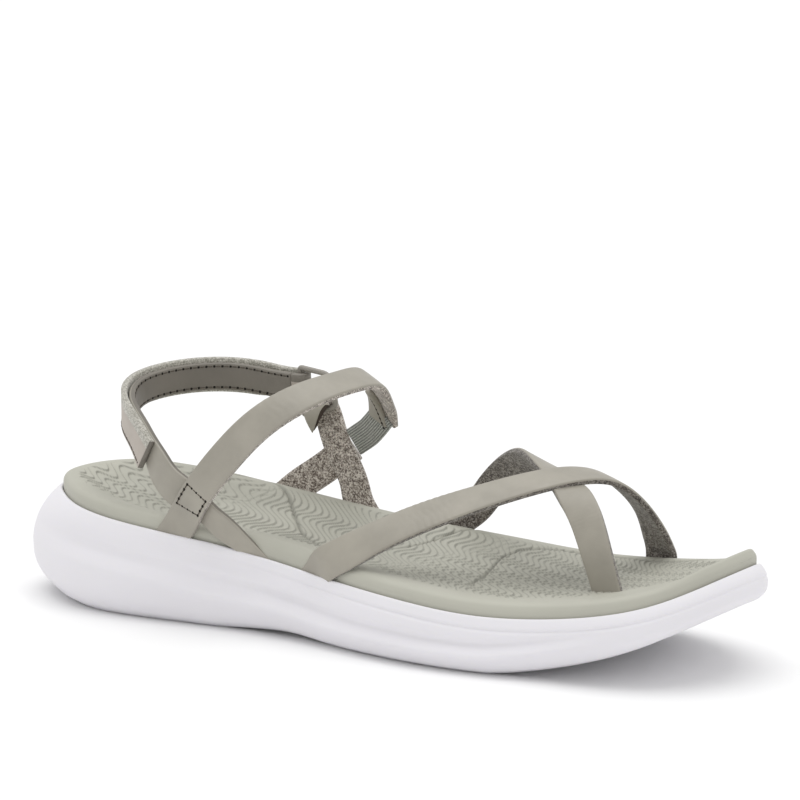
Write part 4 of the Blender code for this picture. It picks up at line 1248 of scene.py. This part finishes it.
class SandalColours(bpy.types.PropertyGroup):
    """Colours of the finishes."""

    strap: colour_property("Strap", "Leather of the straps", (0.358, 0.335, 0.284))
    inner: colour_property("Inner strap", "Leather inside the heel strap", (0.200, 0.182, 0.155))
    lining_dark: colour_property("Lining dark", "Dark fibres of the lining", (0.085, 0.066, 0.054))
    lining_mid: colour_property("Lining middle", "Middle fibres of the lining", (0.360, 0.310, 0.265))
    lining_pale: colour_property("Lining pale", "Pale fibres of the lining", (0.720, 0.665, 0.600))
    nap_dark: colour_property("Nap dark", "Dark fibres of the closure", (0.280, 0.265, 0.220))
    nap_mid: colour_property("Nap middle", "Middle fibres of the closure", (0.440, 0.425, 0.370))
    nap_pale: colour_property("Nap pale", "Pale fibres of the closure", (0.620, 0.600, 0.540))
    pad: colour_property("Closure face", "Smooth face of the closure", (0.470, 0.420, 0.370))
    footbed: colour_property("Footbed", "Foam of the footbed", (0.470, 0.465, 0.400))
    foam: colour_property("Sole", "White foam of the sole", (0.815, 0.800, 0.832))
    elastic: colour_property("Elastic", "Elastic band", (0.300, 0.308, 0.280))
    elastic_pale: colour_property("Elastic pale", "Pale threads of the elastic", (0.560, 0.570, 0.525))
    ring: colour_property("Ring", "Ring of the closure", (0.300, 0.280, 0.245))
    thread: colour_property("Thread", "Sewing thread", (0.120, 0.105, 0.085))


class SANDAL_OT_sole(bpy.types.Operator):
    """Build the white foam sole"""
    bl_idname = "sandal.sole"
    bl_label = "Foam sole"

    def execute(self, context):
        make_foam_sole()
        return {"FINISHED"}


class SANDAL_OT_footbed(bpy.types.Operator):
    """Build the moulded footbed"""
    bl_idname = "sandal.footbed"
    bl_label = "Footbed"

    def execute(self, context):
        make_footbed()
        return {"FINISHED"}


class SANDAL_OT_forefoot_straps(bpy.types.Operator):
    """Build the long forefoot strap and the toe post strap"""
    bl_idname = "sandal.forefoot_straps"
    bl_label = "Forefoot straps"

    def execute(self, context):
        rows = all_rows()
        finishes = [strap_leather(), forefoot_lining()]
        make_strap("long_forefoot_strap", rows["long"], STRAP_WIDTH, "forefoot_straps", finishes, steps=36,
                   creases=((52.0, 9.0, 0.11, 2.2),))
        make_strap("toe_post_strap", rows["toe_post"], TOE_POST_WIDTH, "forefoot_straps", finishes, steps=36,
                   creases=((114.0, 4.0, 0.05, 1.3),))
        return {"FINISHED"}


class SANDAL_OT_rear_straps(bpy.types.Operator):
    """Build the instep strap and the heel strap"""
    bl_idname = "sandal.rear_straps"
    bl_label = "Rear straps"

    def execute(self, context):
        def width(length):
            """Width of the heel strap: narrow at its foot and broad where it crosses the instep strap."""
            crossing = 2.4 * smoothstep((length - 30.0) / 12.0) * smoothstep((66.0 - length) / 14.0)
            return HEEL_STRAP_WIDTH + crossing - 2.8 * smoothstep((25.0 - length) / 14.0)

        rows = all_rows()
        make_strap("instep_strap", rows["instep"], STRAP_WIDTH, "rear_straps", [strap_leather(), lining()],
                   steps=36, creases=((68.0, 7.0, 0.07, 2.6),))
        make_strap("heel_strap", rows["heel"], width, "rear_straps", [strap_leather(), inner_leather()])
        make_tab(start=122.0, end=136.6, edge=(3.0, -4.0))
        return {"FINISHED"}


class SANDAL_OT_side_arms(bpy.types.Operator):
    """Build the two crossed arms on the outer side"""
    bl_idname = "sandal.side_arms"
    bl_label = "Side arms"

    def execute(self, context):
        rows = all_rows()
        finishes = [strap_leather(), lining()]
        make_strap("rear_side_arm", rows["rear_arm"], ARM_WIDTH, "side_arms", finishes)
        # The end cap of the folded flap takes the painted shadow of the slit
        make_strap("front_side_arm", rows["front_arm"], ARM_WIDTH, "side_arms", finishes + [cut_edge()],
                   slant=(50.9, 0.25, 1.0))
        return {"FINISHED"}


class SANDAL_OT_elastic(bpy.types.Operator):
    """Build the ribbed elastic"""
    bl_idname = "sandal.elastic"
    bl_label = "Elastic"

    def execute(self, context):
        tones = context.scene.sandal_colours
        material = fetch(ribbed_elastic, "ribbed_elastic", tones.elastic, tones.elastic_pale)
        make_strap("elastic_band", all_rows()["elastic"], ELASTIC_WIDTH, "elastic_gore", [material, material],
                   crown=0.0, thickness=ELASTIC_THICKNESS, steps=10)
        return {"FINISHED"}


class SANDAL_OT_closure(bpy.types.Operator):
    """Build the hook-and-loop closure and its ring"""
    bl_idname = "sandal.closure"
    bl_label = "Closure"

    def execute(self, context):
        def width(length):
            """Width of the closure: the heel strap's at its fold, then the tail's."""
            spread = smoothstep((length - TAIL_START) / TAIL_SPREAD)
            return HEEL_STRAP_WIDTH + (TAIL_WIDTH - HEEL_STRAP_WIDTH) * spread

        make_strap("closure_pad", all_rows()["closure"], width, "closure_tail",
                   [nap(), pad_leather(), inner_leather()], crown=0.0, band=-0.25, lead=9.0)
        make_ring()
        return {"FINISHED"}


class SANDAL_OT_stitches(bpy.types.Operator):
    """Sew the straps"""
    bl_idname = "sandal.stitches"
    bl_label = "Stitches"

    def execute(self, context):
        spacing = context.scene.sandal_sizes.stitch_spacing
        rows = all_rows()
        heel = strap_sections(rows["heel"], 14)
        instep = strap_sections(rows["instep"], 36)
        closure = strap_sections(rows["closure"], 14)
        face = STRAP_THICKNESS / 2

        edge = HEEL_STRAP_WIDTH / 2 - 1.0
        inner = [stitch_row(heel, (68.0, place), (heel[-1][-1] - 1.0, place), spacing, -1)
                 for place in (-edge, edge)]
        make_stitches("heel_strap_stitches", inner, "rear_straps", spacing)

        box = [stitch_row(instep, corner, following, BOX_SPACING, 1, face + 0.05)
               for corner, following in zip(BOX_CORNERS, BOX_CORNERS[1:] + BOX_CORNERS[:1])]
        make_stitches("box_stitches", box, "rear_straps", BOX_SPACING)

        seam = [stitch_row(instep, *TAB_SEAM, TAB_SPACING, -1, face + 2.0)]
        make_stitches("tab_stitches", seam, "rear_straps", TAB_SPACING, radius=0.18)

        hem = [stitch_row(closure, (34.0, 4.7), (closure[-1][-1] - 1.5, 4.7), spacing, -1)]
        make_stitches("closure_stitches", hem, "closure_tail", spacing)
        return {"FINISHED"}


class SANDAL_OT_stage(bpy.types.Operator):
    """Add the floor, the lights and the camera"""
    bl_idname = "sandal.stage"
    bl_label = "Stage"

    def execute(self, context):
        make_stage(context.scene)
        return {"FINISHED"}


def make_stage(scene):
    """White floor, white surroundings, one broad light from above and a camera on a long lens."""
    half = 6.0
    corners = [(-half, -half, 0), (half, -half, 0), (half, half, 0), (-half, half, 0)]
    mesh = bpy.data.meshes.new("floor")
    mesh.from_pydata(corners, [], [(0, 1, 2, 3)])
    floor = bpy.data.objects.new("floor", mesh)
    scene.collection.objects.link(floor)
    material, _, shader, _ = make_material("pale_floor")
    shader.inputs["Base Color"].default_value = (0.93, 0.93, 0.93, 1.0)
    shader.inputs["Roughness"].default_value = 0.9
    shader.inputs["Specular IOR Level"].default_value = 0.1
    mesh.materials.append(material)

    world = bpy.data.worlds.new("soft_white")
    scene.world = world
    world.use_nodes = True
    background = world.node_tree.nodes["Background"]
    background.inputs["Color"].default_value = (1.0, 1.0, 1.0, 1.0)
    background.inputs["Strength"].default_value = 0.72

    data = bpy.data.lights.new("key_light", "SUN")
    data.energy = 1.35
    data.angle = math.radians(62)
    light = bpy.data.objects.new("key_light", data)
    scene.collection.objects.link(light)
    light.rotation_euler = Vector((0.06, -0.05, -1.0)).to_track_quat("-Z", "Y").to_euler()

    azimuth = math.radians(31.25)
    elevation = math.radians(11.15)
    distance = 1.6
    back = np.array([math.sin(azimuth) * math.cos(elevation), -math.cos(azimuth) * math.cos(elevation),
                     math.sin(elevation)])
    aim = (np.array([125.0, 0.0, 73.5]) + PLACE) * MM
    data = bpy.data.cameras.new("camera")
    data.lens = 228.7
    data.sensor_width = 36.0
    data.clip_end = 50.0
    camera = bpy.data.objects.new("camera", data)
    scene.collection.objects.link(camera)
    camera.location = aim + back * distance
    camera.rotation_euler = Vector(-back).to_track_quat("-Z", "Y").to_euler()
    scene.camera = camera
    scene.view_settings.view_transform = "Standard"


OPERATORS = (SANDAL_OT_sole, SANDAL_OT_footbed, SANDAL_OT_forefoot_straps, SANDAL_OT_rear_straps,
             SANDAL_OT_side_arms, SANDAL_OT_elastic, SANDAL_OT_closure, SANDAL_OT_stitches, SANDAL_OT_stage)


class SANDAL_PT_panel(bpy.types.Panel):
    """Sidebar panel of the sandal"""
    bl_label = "Strappy sandal"
    bl_space_type = "VIEW_3D"
    bl_region_type = "UI"
    bl_category = "Sandal"

    def draw(self, context):
        layout = self.layout
        for operator in OPERATORS:
            layout.operator(operator.bl_idname)
        for group in (context.scene.sandal_sizes, context.scene.sandal_colours):
            for name in group.__annotations__:
                layout.prop(group, name)


CLASSES = (SandalSizes, SandalColours) + OPERATORS + (SANDAL_PT_panel,)


def register():
    """Register the classes and the scene's fields."""
    for item in CLASSES:
        bpy.utils.register_class(item)
    bpy.types.Scene.sandal_sizes = PointerProperty(type=SandalSizes)
    bpy.types.Scene.sandal_colours = PointerProperty(type=SandalColours)


def unregister():
    """Take the scene's fields and the classes away."""
    del bpy.types.Scene.sandal_colours
    del bpy.types.Scene.sandal_sizes
    for item in reversed(CLASSES):
        bpy.utils.unregister_class(item)


def main():
    """Build every piece in order."""
    register()
    for operator in OPERATORS:
        group, name = operator.bl_idname.split(".")
        getattr(getattr(bpy.ops, group), name)()


if __name__ == "__main__":
    main()
